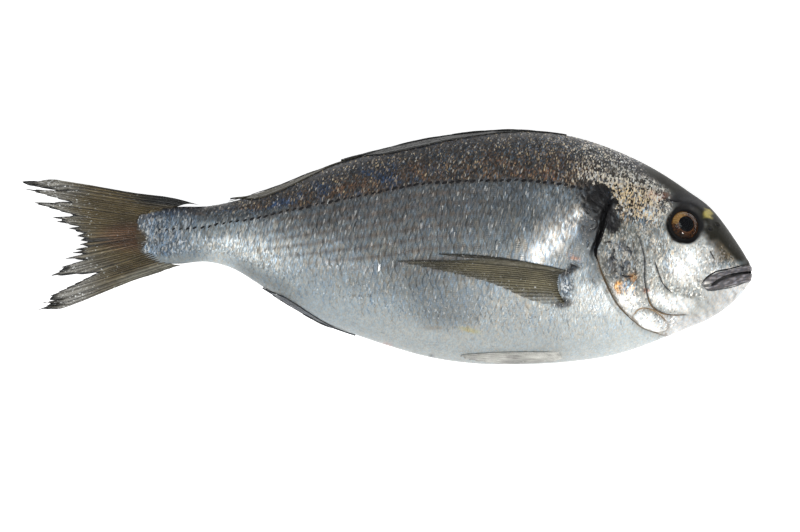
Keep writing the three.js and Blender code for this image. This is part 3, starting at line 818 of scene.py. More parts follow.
def take_faces(piece):
    """The faces of a modelled form, which is then taken away: it lives on in its copies."""
    faces = [list(face.vertices) for face in piece.data.polygons]
    bpy.data.objects.remove(piece, do_unlink=True)
    return faces


def build_beads(name, points, faces, tone, material):
    """A piece of many closed copies, each of one colour."""
    piece = joined(name, points, faces)
    store(piece, "tone", np.broadcast_to(tone, points.shape))
    face_outwards(piece)
    finish_piece(piece, material)


# ---------------------------------------------------------------- shading

def opaque(colour):
    return (*colour, 1.0)


class Nodes:
    """One tree of shader nodes, with a short word for each node that the finishes use."""

    def __init__(self, tree):
        self.tree = tree

    def feed(self, socket, value):
        """Links a value from another node to a socket, or sets a constant on it."""
        if isinstance(value, bpy.types.NodeSocket):
            self.tree.links.new(value, socket)
        else:
            socket.default_value = value

    def add(self, kind, inputs=(), **settings):
        made = self.tree.nodes.new("ShaderNode" + kind)
        for key, value in settings.items():
            setattr(made, key, value)
        for key, value in dict(inputs).items():
            self.feed(made.inputs[key], value)
        return made

    def calc(self, operation, *values, clamp=False):
        return self.add("Math", enumerate(values), operation=operation, use_clamp=clamp).outputs[0]

    def times(self, first, second):
        return self.calc("MULTIPLY", first, second)

    def minus(self, first, second):
        return self.calc("SUBTRACT", first, second)

    def vector(self, operation, *values):
        return self.add("VectorMath", enumerate(values), operation=operation).outputs[0]

    def scaled(self, vector, factor):
        return self.add("VectorMath", {0: vector, "Scale": factor}, operation="SCALE").outputs[0]

    def joined(self, *values):
        return self.add("CombineXYZ", enumerate(values)).outputs[0]

    def parts(self, vector):
        return self.add("SeparateXYZ", {0: vector}).outputs

    def attribute(self, name):
        return self.add("Attribute", attribute_name=name).outputs["Vector"]

    def blend(self, share, first, second):
        """From the first colour to the second."""
        first, second = (opaque(c) if isinstance(c, np.ndarray) else c for c in (first, second))
        return self.add("Mix", {0: share, 6: first, 7: second}, data_type="RGBA").outputs[2]

    def mix(self, share, first, second):
        return self.add("Mix", {0: share, 2: first, 3: second}, data_type="FLOAT").outputs[0]

    def between(self, value, start, end, low=0.0, high=1.0):
        """A smooth change from low to high as the value goes from start to end."""
        inputs = {0: value, 1: start, 2: end, 3: low, 4: high}
        return self.add("MapRange", inputs, interpolation_type="SMOOTHSTEP").outputs[0]

    def shaded(self, colour, factor):
        return self.vector("MULTIPLY", colour, self.joined(factor, factor, factor))

    def noise(self, vector, size, detail):
        return self.add("TexNoise", {"Vector": vector, "Scale": size, "Detail": detail}).outputs

    def bumped(self, height, strength, distance, normal):
        inputs = {"Strength": strength, "Distance": distance, "Height": height, "Normal": normal}
        return self.add("Bump", inputs).outputs[0]

    def effect(self, group, **values):
        """Places a shared effect with its own values."""
        made = self.tree.nodes.new("ShaderNodeGroup")
        made.node_tree = group
        for key, value in values.items():
            self.feed(made.inputs[key], value)
        return made.outputs

    def mottle(self, stretch, depth):
        return self.effect(MOTTLE, Stretch=stretch, Depth=depth)["Shade"]

    def body_place(self):
        """Object coordinates in millimetres."""
        return self.vector("MULTIPLY", self.add("TexCoord").outputs["Object"], (1 / MM, 1 / MM, 1 / MM))


class Finish(Nodes):
    """A material with its shader, and the constants set on it."""

    def __init__(self, name, **constants):
        self.material = bpy.data.materials.new(name)
        self.material.use_nodes = True
        super().__init__(self.material.node_tree)
        self.shader = self.tree.nodes["Principled BSDF"]
        self.give(**constants)

    def give(self, **values):
        """Feeds the shader, and hands back the material."""
        for key, value in values.items():
            self.feed(self.shader.inputs[key.replace("_", " ")], value)
        return self.material


def new_effect(name, inputs, outputs):
    """A shared effect. inputs and outputs are (name, kind[, value])."""
    tree = bpy.data.node_groups.new(name, "ShaderNodeTree")
    for label, kind, *value in inputs:
        socket = tree.interface.new_socket(label, in_out="INPUT", socket_type="NodeSocket" + kind)
        if value:
            socket.default_value = value[0]
    for label, kind in outputs:
        tree.interface.new_socket(label, in_out="OUTPUT", socket_type="NodeSocket" + kind)
    return Nodes(tree), tree.nodes.new("NodeGroupInput").outputs, tree.nodes.new("NodeGroupOutput").inputs


def make_flakes_effect():
    """Small mirror flakes: two random numbers for each, and a normal that leans its own way.
    Slope is how far their upper ends lean towards the snout."""
    n, given, made = new_effect(
        "mirror_flakes",
        [("Size", "Float", 1.0), ("Lean", "Float", 0.3), ("Slope", "Float", 0.0), ("Stretch", "Vector"),
         ("Wander", "Float", 0.3)],
        [("Chance", "Float"), ("Tint", "Float"), ("Normal", "Vector")])
    x, y, z = n.parts(n.body_place())
    flake_place = n.joined(n.minus(x, n.times(y, given["Slope"])), y, z)
    flake_place = n.vector("DIVIDE", flake_place, given["Stretch"])
    flake_place = n.scaled(flake_place, n.calc("DIVIDE", 1.0, given["Size"]))
    wander = n.noise(flake_place, 0.9, 1.0)["Color"]
    flake_place = n.vector("ADD", flake_place, n.scaled(wander, given["Wander"]))
    flakes = n.add("TexVoronoi", {"Vector": flake_place, "Scale": 1.0}, feature="F1").outputs["Color"]
    chances = n.parts(flakes)
    leaning = n.scaled(n.vector("SUBTRACT", flakes, (0.5, 0.5, 0.5)), given["Lean"])
    upright = n.add("NewGeometry").outputs["Normal"]
    n.feed(made["Chance"], chances["X"])
    n.feed(made["Tint"], chances["Y"])
    n.feed(made["Normal"], n.vector("NORMALIZE", n.vector("ADD", upright, leaning)))
    return n.tree


def make_mottle_effect():
    """Soft uneven shade at two sizes, around 1."""
    n, given, made = new_effect(
        "mottle", [("Stretch", "Vector"), ("Depth", "Float", 0.3)], [("Shade", "Float")])
    mottle_place = n.vector("DIVIDE", n.body_place(), given["Stretch"])
    coarse = n.noise(mottle_place, 0.35, 2.0)["Fac"]
    fine = n.noise(mottle_place, 1.3, 3.0)["Fac"]
    both = n.minus(n.calc("ADD", coarse, fine), 1.0)
    n.feed(made["Shade"], n.calc("MULTIPLY_ADD", both, n.times(given["Depth"], 4.0), 1.0))
    return n.tree


FLAKES = make_flakes_effect()
MOTTLE = make_mottle_effect()


def glitter_over(n, colour, flakes, amount, gold):
    """Lays bright silver and gold flakes, partly painted glints, and dark ones over a colour."""
    any_flake = n.calc("FRACT", n.times(flakes["Chance"], 37.0))
    golden = n.times(gold, n.between(any_flake, 0.0, 0.6))
    bright = n.blend(golden, FLAKE_SILVER, FLAKE_GOLD)
    lit = n.between(n.minus(flakes["Chance"], amount), 0.0, 0.06, 1.0, 0.0)
    dark = n.between(n.minus(n.minus(1.0, flakes["Chance"]), amount), 0.0, 0.06, 1.0, 0.0)
    colour = n.blend(n.times(dark, 0.6), colour, n.shaded(colour, 0.35))
    faint = n.between(amount, 0.3, 0.5, FAINT_FLAKES, 0.9)
    bright = n.shaded(bright, n.between(amount, 0.2, 0.5, DIM_FLAKES, 1.0))
    strength = n.calc("POWER", flakes["Tint"], faint)
    hue = n.blend(n.between(flakes["Tint"], 0.25, 0.40), NAVY, COPPER)
    soft = n.vector("ADD", n.shaded(colour, SOFT_FLAKE), hue)
    bright = n.blend(strength, soft, bright)
    return n.blend(lit, colour, bright), n.times(lit, strength)


def streaked(n, colour, depth, vivid, length):
    """Fine uneven streaks, some bluer and some browner than the colour below, more so where vivid is 1."""
    streaks = n.effect(FLAKES, Size=0.5, Lean=0.0, Slope=0.2, Stretch=(1.0, length, 1.0))
    away = n.calc("MULTIPLY_ADD", streaks["Chance"], 2.0, -1.0)
    shade = n.calc("MULTIPLY_ADD", away, depth, 1.0)
    cold = n.blend(vivid, STREAK_COLD, VIVID_COLD)
    warm = n.blend(vivid, STREAK_WARM, VIVID_WARM)
    hue = n.blend(n.between(streaks["Tint"], 0.3, 0.7), cold, warm)
    return n.vector("MULTIPLY", n.shaded(colour, shade), hue)


def make_skin_finish():
    n = Finish("wet_skin", Specular_IOR_Level=0.25, Coat_Roughness=0.1)
    amount, gold, gloss = n.parts(n.attribute("glitter"))
    flakes = n.effect(FLAKES, Size=0.62, Lean=n.times(amount, 1.2), Stretch=(1.0, 1.35, 1.0))
    shade = n.mottle((1.0, 1.6, 1.0), 0.07)
    colour = streaked(n, n.shaded(n.attribute("tone"), shade), 0.12, 0.0, 2.5)
    colour, lit = glitter_over(n, colour, flakes, amount, gold)
    rough = n.minus(n.between(gloss, 0.0, 0.7, 0.56, 0.43), n.times(lit, 0.16))
    return n.give(Base_Color=colour, Metallic=n.times(lit, 0.35), Roughness=rough,
                  Coat_Weight=n.between(gloss, 0.0, 0.7, 0.04, 0.2),
                  Normal=n.bumped(shade, 0.35, 0.4 * MM, flakes["Normal"]))


def make_scale_finish(name, flake_size, lean, streak, long):
    """A scale: painted shade at its covered root, fine rays across it, a pale rim with a painted highlight.
    """
    n = Finish(name, Specular_IOR_Level=0.3, Coat_Weight=0.12, Coat_Roughness=0.12)
    flakes = n.effect(FLAKES, Size=flake_size, Lean=lean, Slope=0.2, Stretch=(0.75, long, 1.0))
    along, across, chance = n.parts(n.attribute("lay"))
    amount, gold, gloss = n.parts(n.attribute("glitter"))
    # painted shade where the scale comes out from under the next
    root_shade = n.between(along, 0.45, 0.85, 0.92, 1.0)
    colour = n.shaded(n.attribute("tone"), n.times(n.mottle((0.7, 2.2, 1.0), 0.12), root_shade))
    # a brighter rim: partly the scale's pale free edge, partly a painted highlight
    rim_light = n.times(n.between(along, 0.80, 0.96), n.between(chance, 0.1, 1.0, 0.0, 0.6))
    colour = n.shaded(colour, n.calc("ADD", 1.0, rim_light))
    golden_back = n.between(gold, 0.3, 0.85)
    depth = n.times(streak, n.mix(golden_back, n.between(gloss, 0.0, 1.0, 1.0, 0.4), 1.8))
    colour = streaked(n, colour, depth, n.mix(golden_back, 0.1, 0.7), 4.0)
    colour, lit = glitter_over(n, colour, flakes, amount, gold)
    rough = n.minus(n.between(chance, 0.0, 1.0, 0.45, 0.36), n.times(lit, 0.1))
    metal = n.calc("MAXIMUM", n.times(gloss, 0.2), n.times(lit, 0.4))
    rays = n.calc("SINE", n.times(across, 34.0))
    return n.give(Base_Color=colour, Metallic=metal, Roughness=rough,
                  Normal=n.bumped(rays, 0.2, 0.2 * MM, flakes["Normal"]))


def make_fin_finish(name, rays, clear=0.8, dark_rays=0.45, sparkle=0.1):
    """Thin fin skin between jointed rays. The sheet's own map gives the way across and along, and how
    thin it is: 0 is thick, 1 is clear and 2 is gone."""
    n = Finish(name, Roughness=0.38, Specular_IOR_Level=0.3, Coat_Weight=0.12, Coat_Roughness=0.15)
    across, along, thin = n.parts(n.attribute("lay"))
    on_ray = n.calc("FRACT", n.times(across, float(rays)))
    ray = n.between(n.calc("ABSOLUTE", n.minus(on_ray, 0.5)), 0.16, 0.30, 1.0, 0.0)
    joints = n.between(n.calc("SINE", n.times(along, 260.0)), 0.2, 0.9, 1.0, 0.82)
    shade = n.times(n.mottle((5.0, 1.6, 2.0), 0.3), n.mix(ray, 1.0, joints))
    shade = n.times(shade, n.between(ray, 0.0, 1.0, 1.0, 1.0 - dark_rays))
    flakes = n.effect(FLAKES, Size=0.42, Lean=0.5, Stretch=(1.6, 1.0, 1.0))
    chance = n.minus(flakes["Chance"], n.calc("MULTIPLY", thin, sparkle, clamp=True))
    # painted glints: bright flakes, more of them where the fin is thin
    lit = n.times(n.between(chance, -0.02, 0.02, 1.0, 0.0), n.calc("POWER", flakes["Tint"], FAINT_FLAKES))
    colour = n.blend(lit, n.shaded(n.attribute("tone"), shade), FLAKE_SILVER)
    solid = n.calc("MAXIMUM", n.between(thin, 0.0, 1.0, 1.0, clear), n.times(ray, 0.85))
    solid = n.times(solid, n.between(thin, 1.0, 2.0, 1.0, 0.0))
    return n.give(Base_Color=colour, Alpha=solid, Normal=n.bumped(ray, 0.5, 0.3 * MM, flakes["Normal"]))


def make_dark_finish():
    """The plain finish of pores, furrow lines and folded rays."""
    n = Finish("line_pores", Roughness=0.6, Specular_IOR_Level=0.1)
    return n.give(Base_Color=n.shaded(n.attribute("tone"), n.mottle((1.0, 1.0, 1.0), 0.4)))


IRIS_DARK = rgb(0.014, 0.006, 0.003)
IRIS_AMBER = rgb(0.110, 0.042, 0.010)
IRIS_INNER = rgb(0.100, 0.040, 0.012)
# the colour of the painted highlight on the iris
IRIS_HIGHLIGHT = rgb(0.62, 0.36, 0.12)
IRIS_RIM = rgb(0.010, 0.008, 0.008)
PUPIL = rgb(0.002, 0.003, 0.005)
HIGHLIGHT_TURN = 0.8  # where the iris is brightest, above and behind the pupil


def make_iris_finish():
    """Amber iris with dark rim and fine streaks towards a black pupil; lay holds the way out and round."""
    n = Finish("iris", Specular_IOR_Level=0.1)
    out, around, _ = n.parts(n.attribute("lay"))
    streaks = n.noise(n.joined(n.times(around, 30.0), n.times(out, 2.0)), 1.4, 3.0)["Fac"]
    amber = n.blend(n.between(streaks, 0.35, 0.7), IRIS_DARK, IRIS_AMBER)
    amber = n.shaded(amber, n.mottle((1.6, 1.6, 1.6), 0.6))
    amber = n.blend(n.between(out, 0.60, 0.53), amber, IRIS_INNER)
    # painted highlight: golden, on the iris above and behind the pupil
    turned = n.calc("COSINE", n.calc("MULTIPLY_ADD", around, 2 * math.pi, HIGHLIGHT_TURN))
    upper_rear = n.between(turned, 0.55, 1.0)
    highlight_share = n.times(upper_rear, n.between(out, 0.92, 0.80))
    highlight_share = n.times(highlight_share, n.between(streaks, 0.30, 0.55, 0.4, 1.0))
    amber = n.blend(n.times(highlight_share, 0.85), amber, IRIS_HIGHLIGHT)
    rim = n.times(n.between(out, 0.82, 0.95), n.mix(upper_rear, 1.0, 0.55))
    pupil = n.between(out, 0.515, 0.49)
    return n.give(Base_Color=n.blend(pupil, n.blend(rim, amber, IRIS_RIM), PUPIL),
                  Metallic=n.times(n.minus(1.0, pupil), 0.05), Roughness=n.mix(pupil, 0.50, 0.06))


def make_cornea_finish():
    n = Finish("cornea", Roughness=0.02, IOR=1.34, Transmission_Weight=1.0)
    return n.give(Base_Color=n.shaded((0.97, 0.97, 0.96), n.mottle((2.0, 2.0, 2.0), 0.03)))


# ---------------------------------------------------------------- skin

SKIN_SEGMENTS = 320
SKIN_RINGS = 288
RIGHT_SEGMENT_SHARE = 0.66  # the flank that shows has more of the points round the body
RING_SHARES = [0, 0.02, 0.40, 0.93, 1.0]
RING_PLACES = [TAIL_END, TAIL_END + 2, 92, 165, SNOUT]


def build_skin():
    piece, co = ball("skin", SKIN_SEGMENTS, SKIN_RINGS)
    ring = 1 - np.arccos(np.clip(co[:, 2], -1, 1)) / math.pi
    x = np.interp(ring, RING_SHARES, RING_PLACES)
    last = (ring - RING_SHARES[-2]) / (1 - RING_SHARES[-2])
    x = np.where(last > 0, SNOUT - (SNOUT - RING_PLACES[-2]) * (1 - last) ** 2, x)
    around = (np.arctan2(co[:, 1], co[:, 0]) / (2 * math.pi)) % 1.0
    side = np.where(around < RIGHT_SEGMENT_SHARE, RIGHT, LEFT)
    way = np.where(side == RIGHT, around / RIGHT_SEGMENT_SHARE,
                   1 - (around - RIGHT_SEGMENT_SHARE) / (1 - RIGHT_SEGMENT_SHARE))
    even = 0.5 * way + 0.5 * (1 - np.cos(math.pi * way)) / 2
    turn = np.arccos(np.clip(1 - 2 * even, -1, 1))
    flank = form(x, turn, RIGHT)
    colour, glitter = skin_colour(flank[:, 0], flank[:, 1])
    inner = (ring > 0.005) & (ring < 0.995)
    height = relief(flank[:, 0], flank[:, 1]) * inner
    points = flank + outward(x, turn, RIGHT) * height[:, None]
    points[:, 2] = np.maximum(points[:, 2] * side, -MIDDLE_HEIGHT)
    reshape(piece, points)
    store(piece, "tone", colour)
    store(piece, "glitter", glitter)
    face_outwards(piece)
    finish_piece(piece, make_skin_finish(), replaced=["fish"])


# ---------------------------------------------------------------- scales

SCALE_LENGTH = 2.2  # of its pitch, from its hidden root to its rim
SCALE_CURVE = 0.8  # how far its rim curves back towards its sides, of its pitch
SCALE_ROOT = -0.15  # how far its root lies under the skin
RIM_DROP = -0.02
FIN_ROOT_HALF = 1.1  # half the thickness of the tail fin's root
TAIL_SCALE_PITCH = 1.7
TAIL_SCALE_ROW = 1.8
GILL_CLEARANCE = {"flank": 9.4, "breast": 4.6}


def wrap_on_flank(x, off, side, height):
    """A point of the skin that lies off the lateral line by off, lifted by height."""
    turn, _ = row_turn(x, off)
    return skin_surface(x, turn, side, height)


def wrap_on_tail_root(x, off, side, height):
    """The same over the root of the tail fin, where off is counted down from the fin's middle."""
    y = TAIL_MIDDLE - off
    flank = form(x, turn_at(x, y), RIGHT)[..., 2]
    return np.stack([x, y, side * (np.maximum(flank, FIN_ROOT_HALF) + height)], axis=-1)


def scale_points(places, wrap, side, raise_by, looseness, rng):
    """Vertices of every scale, wrapped on the skin, its faces, and the way along and across each one."""
    piece, across, along = grid("scale", 6, 4)
    faces = take_faces(piece)
    count = len(places)
    x0, off0, pitch, spacing = (places[:, i:i + 1] for i in range(4))
    to_rim = np.interp(along, [0, 0.25, 0.5, 0.75, 1], [0, 0.5, 0.84, 1, 1])[None]
    rolled = (along > 0.9)[None]
    v = (across * 2 - 1)[None]
    back = (1 - to_rim) * SCALE_LENGTH * pitch * (1 - 0.3 * v ** 2) + SCALE_CURVE * pitch * v ** 2
    back = back - rolled * 0.05 * pitch + rng.normal(0, 0.07 * looseness, (count, 1)) * pitch
    down = v * spacing
    spin = rng.normal(0, 0.06 * looseness, (count, 1))
    size = rng.uniform(0.92, 1.1, (count, 1))
    x = x0 + (back * np.cos(spin) - down * np.sin(spin)) * size
    off = off0 + (down * np.cos(spin) + back * np.sin(spin)) * size
    lift = rng.uniform(0.7, 1.3, (count, 1)) * raise_by
    lean = rng.normal(0, 0.14 * looseness, (count, 1))
    height = mix(SCALE_ROOT, lift, to_rim ** 1.1) - raise_by * 0.85 * v ** 2 + raise_by * lean * v
    height = np.where(rolled, RIM_DROP - 0.6 * raise_by, height)
    return wrap(x, off, side, height), faces, to_rim + 0 * x, v + 0 * x


def row_lines(x, share, across):
    """How much of the brown line along the middle of each row shows, upon the upper flank."""
    middle = np.clip(1 - np.abs(across) * 2.2, 0, 1)
    return middle * ease(share, 0.14, 0.26) * fade(share, 0.54, 0.72) * fade(x, 20, 70) * ease(x, -80, -40)


def build_scales(name, places, side, seed, material, slot, wrap, raise_by, looseness, tint):
    """One piece of scales, each laid a little its own way and of its own shade."""
    rng = np.random.default_rng(seed + side)
    _, way_down = row_turn(places[:, 0], places[:, 1])
    raise_each = raise_by * (1 - 0.75 * ease(way_down, 0.56, 0.74))[:, None]
    points, faces, along, across = scale_points(places, wrap, side, raise_each, looseness, rng)
    if side == RIGHT:
        faces = [face[::-1] for face in faces]
    piece = joined(name, points, faces)
    x, y = points[..., 0], points[..., 1]
    colour, glitter = skin_colour(x.ravel(), y.ravel())
    share = share_down(x, y)
    colour = paint(colour.reshape(points.shape), ROW_BROWN, 0.6 * row_lines(x, share, across))
    shade = np.exp(rng.normal(0, tint, (len(places), 1, 1)))
    warmth = rng.normal(0, 0.03, (len(places), 1, 1)) * np.array([1.0, 0.1, -1.0])
    chance = rng.uniform(0, 1, (len(places), 1)) * (1 - 0.9 * ease(share, 0.64, 0.80))
    store(piece, "tone", colour * shade * (1 + warmth))
    store(piece, "glitter", glitter)
    store_lay(piece, along, across, chance)
    finish_piece(piece, material)


def on_flank(places):
    """x and y of each place on the plain body, and whether it lies clear of the pectoral lobe."""
    turn, _ = row_turn(places[:, 0], places[:, 1])
    point = form(places[:, 0], turn, RIGHT)
    x, y = point[:, 0], point[:, 1]
    return x, y, spot(x, y, *PECTORAL_LOBE) <= 0.3


def behind_gills(x, y, clear):
    """Where a scale's rim lies so far behind the gill opening that its root ends clear of it."""
    return (near(GILL_LINE, x, y)[2] < -clear) & (y < 25)


def clear_of(line, x, y, ahead, behind):
    """Whether a scale lies so far ahead of a line, or behind it, that it doesn't cover the line."""
    _, _, gap = near(line, x, y)
    return (gap > ahead) | (gap < -behind)


def flank_lattice():
    """The large scales of the flank, behind the gill opening and before the nape and breast."""
    places = lattice(NAPE_FRONT, TAIL_SCALES_END)
    x, y, off_lobe = on_flank(places)
    breast = (x > BREAST_REAR) & (y < -6)
    nape = (y >= 25) & (x > NAPE_REAR)
    tail_edge = (x < -88) & (y < -4.5)
    belly = (share_down(x, y) > 0.86) & (x > -40)
    kept = (behind_gills(x, y, GILL_CLEARANCE["flank"]) | (y >= 25)) & (x > -110)
    return places[kept & ~breast & ~nape & off_lobe & ~tail_edge & ~belly]


def breast_lattice():
    """The small scales between the gill opening and the pectoral and pelvic fins."""
    places = lattice(124, BREAST_REAR - 2, finer=0.5)
    x, y, off_lobe = on_flank(places)
    kept = behind_gills(x, y, GILL_CLEARANCE["breast"]) & (x > BREAST_REAR - 1) & (y < -5)
    return places[kept & off_lobe & (share_down(x, y) < 0.9)]


def head_lattice():
    """Small scales of the cheek, the gill cover and the nape."""
    places = lattice(146, NAPE_REAR - 4, finer=0.5)
    x, y, _ = on_flank(places)
    cover = (near(GILL_LINE, x, y)[2] > 2.5) & (y < 25) & (x < 132)
    cover = cover & (y > mix(-24, 2, ease(x, 118, 119)) - 50 * (x > 119))
    cheek = (np.hypot(x - EYE["x"], y - EYE["y"]) > ORBIT_RADIUS + 1.5) & (x < 142 + 0.5 * y) & (y > -22)
    nape = (y >= 24) & (x > NAPE_REAR - 1) & (x < NAPE_FRONT - 0.35 * (y - 25))
    clear = clear_of(CHEEK_LINE, x, y, 1.0, 4.6) & (inside(PLATE_LINE, x, y) == 0)
    clear = clear & clear_of(CREASE_LINES[0][0], x, y, 0.8, 4.2)
    clear = clear & (y < body_at(x)[0] - np.interp(x, [104, 120, 135], [2, 5, 8]))
    return places[(cover & cheek | nape) & clear]


def tail_root_lattice():
    """Fine scales that run out over the root of the tail fin, further above and below than midway."""
    x, off = np.meshgrid(np.arange(-99, -121, -TAIL_SCALE_PITCH), np.arange(-12.5, 11, TAIL_SCALE_ROW))
    x = x - TAIL_SCALE_PITCH / 2 * (np.arange(off.shape[0]) % 2)[:, None]
    y = TAIL_MIDDLE - off
    rng = np.random.default_rng(81)
    rear = np.interp(y, TAIL_SCALE_EDGE[:, 0], TAIL_SCALE_EDGE[:, 1])
    kept = (x > rear + rng.normal(0, 0.9, x.shape)) & (y > -5.5 + 0.25 * (-x - 99)) & (y < 16.5)
    ones = np.ones(kept.sum())
    return np.stack([x[kept], off[kept], TAIL_SCALE_PITCH * ones, TAIL_SCALE_ROW * ones], axis=1)


def build_all_scales():
    body = make_scale_finish("scale", flake_size=0.66, lean=0.10, streak=0.5, long=3.2)
    face = make_scale_finish("head_scale", flake_size=0.85, lean=0.4, streak=0.2, long=1.3)
    # name, places, seed, finish, slot, wrap, rise of the rims, looseness, uneven shade
    kinds = [
        ("scales_", flank_lattice(), 11, body, "skin", wrap_on_flank, 0.17, 1.0, 0.05),
        ("breast_scales_", breast_lattice(), 51, body, "skin", wrap_on_flank, 0.16, 2.4, 0.10),
        ("head_scales_", head_lattice(), 21, face, "head", wrap_on_flank, 0.18, 2.4, 0.2),
        ("tail_root_scales_", tail_root_lattice(), 61, face, "skin", wrap_on_tail_root, 0.18, 2.4, 0.3)]
    for side, word in SIDES:
        for name, places, *rest in kinds:
            build_scales(name + word, places, side, *rest)


# ---------------------------------------------------------------- pores and furrow lines

PORE_STEP = 3.3
# points, width at the start and at the end, thickness above the skin, colour
HEAD_LINES = [
    # a black bead in the gill slit, standing for the shade in the cleft
    (GILL_COVER_EDGE[1:5], 2.9, 1.3, 0.3, INK * 0.7),
    (GILL_COVER_EDGE[3:], 1.0, 0.5, 0.15, BROWN * 0.7),
    (CHEEK_EDGE, 0.45, 0.5, 0.15, SMOKE),
    ([[120.4, -19.5], [122.4, -26.4], [127, -30.4], [134, -31.6], [140, -31]], 0.9, 0.7, 0.2, BROWN * 1.1),
    (THROAT_PLATE[:4], 0.6, 0.6, 0.15, BROWN * 1.8),
    ([[146.6, -18.4], [146.4, -16.5], [149.3, -13.5], [153.3, -11.3], [159.3, -10.1], [168, -7.8]],
     0.8, 0.8, 0.2, INK * 2),
    ([[152, -17.2], [154.4, -15], [158, -13.2], [163, -12.3], [169.4, -11.4]], 0.9, 0.9, 0.3, INK),
    ([[147.4, -19.2], [150.5, -20.2], [156, -19.4], [162.1, -18.1], [168, -15.8]],
     0.6, 0.6, 0.15, SMOKE * 1.6),
]
HEAD_LINES += [(line, width, width * 0.8, 0.2, INK * 1.8) for line, width, _ in CREASES]


def build_lateral_line(side, word, material):
    """Dark pores in a row along the flank."""
    rng = np.random.default_rng(31 + side)
    bead, co = ball("pore", 8, 6)
    faces = take_faces(bead)
    bead_x, bead_y, bead_z = co.T[:, None]
    x0 = np.arange(LATERAL[0, 0], LATERAL[-1, 0], PORE_STEP)[:, None]
    size = rng.uniform(0.7, 1.15, x0.shape) * np.interp(x0, [-100, -45], [0.62, 1.0])
    x = x0 + bead_x * 1.2 * size + rng.normal(0, 0.15, x0.shape)
    off = bead_y * 0.66 * size - 0.3 * bead_x + rng.normal(0, 0.12, x0.shape)
    points = wrap_on_flank(x, off, side, 0.36 + bead_z * 0.24)
    build_beads("lateral_line_" + word, points, faces, INK * 1.2, material)


def along_line(at, knots, points):
    """The places along a line of points where the shares at fall between its knots."""
    return np.stack([np.interp(at, knots, points[:, i]) for i in (0, 1)], axis=-1)


def build_head_lines(side, word, material):
    """Thin dark beads laid along the furrows, tapered at both ends."""
    bead, co = ball("line", 8, 42)
    faces = take_faces(bead)
    even = np.arcsin(np.clip(co[:, 2], -1, 1)) / math.pi + 0.5
    thin = np.maximum(np.sqrt(np.clip(1 - co[:, 2] ** 2, 0, 1)), 1e-6)
    wide = np.minimum(thin * 1.5, 1) * (0.8 + 0.25 * ripple(even * 9, 0 * even, 1, 51))
    copies = []
    for line, start_width, end_width, thick, _ in HEAD_LINES:
        path = smooth_line(line)
        steps = np.linalg.norm(np.diff(path, axis=0), axis=1)
        passed = run_up(steps) / steps.sum()
        at = along_line(even, passed, path)
        way = along_line(even + 0.02, passed, path) - along_line(even - 0.02, passed, path)
        way = way / np.maximum(np.linalg.norm(way, axis=1, keepdims=True), 1e-9)
        aside = co[:, 0] / thin * wide * mix(start_width, end_width, even) / 2
        x = at[:, 0] - way[:, 1] * aside
        y = at[:, 1] + way[:, 0] * aside
        lift = 0.1 + co[:, 1] / thin * wide * thick
        copies.append(skin_surface(x, turn_at(x, y), side, lift))
    tones = np.array([colour for *_, colour in HEAD_LINES])[:, None]
    build_beads("head_lines_" + word, np.stack(copies), faces, tones, material)


# ---------------------------------------------------------------- fins

TAIL_TOP_EDGE = [
    [-80, 17.5], [-88, 20], [-99, 22.8], [-116, 24.9], [-133, 28], [-150, 30.7], [-160, 31.5], [-167, 31.4]]
TAIL_BOTTOM_EDGE = [
    [-80, -5.6], [-97, -9], [-112, -13.6], [-126, -19], [-144, -26.4], [-155, -30], [-160, -31]]
# The tail's rear outline from its upper corner down: tip, notch, tip and so on, as x, y
TAIL_OUTLINE = np.array([
    [-167, 31.4], [-170, 29.4], [-152.4, 26.1], [-168.7, 27.2], [-147.5, 21.1], [-164.7, 20.7],
    [-144.6, 14.7], [-156.4, 13.7], [-150.5, 12.9], [-153.5, 11.9], [-143.1, 9.6], [-147.4, 8.7],
    [-141.3, 6.5], [-143.2, 5.1], [-140.8, 4], [-141.6, 3.1], [-139, 2.1], [-142.8, 0.9], [-137.8, 0.1],
    [-144.1, -1], [-141.8, -1.9], [-145.6, -2.7], [-140.9, -3.5], [-149.5, -5.5], [-140.1, -6.1],
    [-151.8, -9.7], [-150.6, -10.6], [-156, -13.7], [-134.5, -12.3], [-157.3, -23.4], [-154.6, -25.4],
    [-160.6, -26.3], [-156.5, -26.8], [-163.5, -30.1]])
# share of the way down the fin, x, y
TAIL_ROOTS = np.array([
    [0, -84, 17.8], [0.05, -92, 18.0], [0.12, -102, 17.0], [0.22, -109, 13.5], [0.4, -111, 8.5],
    [0.6, -111, 3.0], [0.78, -109, -3.0], [0.9, -102, -6.6], [1, -92, -7.4]])
TAIL_RAYS = 46
TAIL_THICKNESS = 2.2
FIN_THICKNESS = 0.9
FOLD_THICKNESS = 0.5

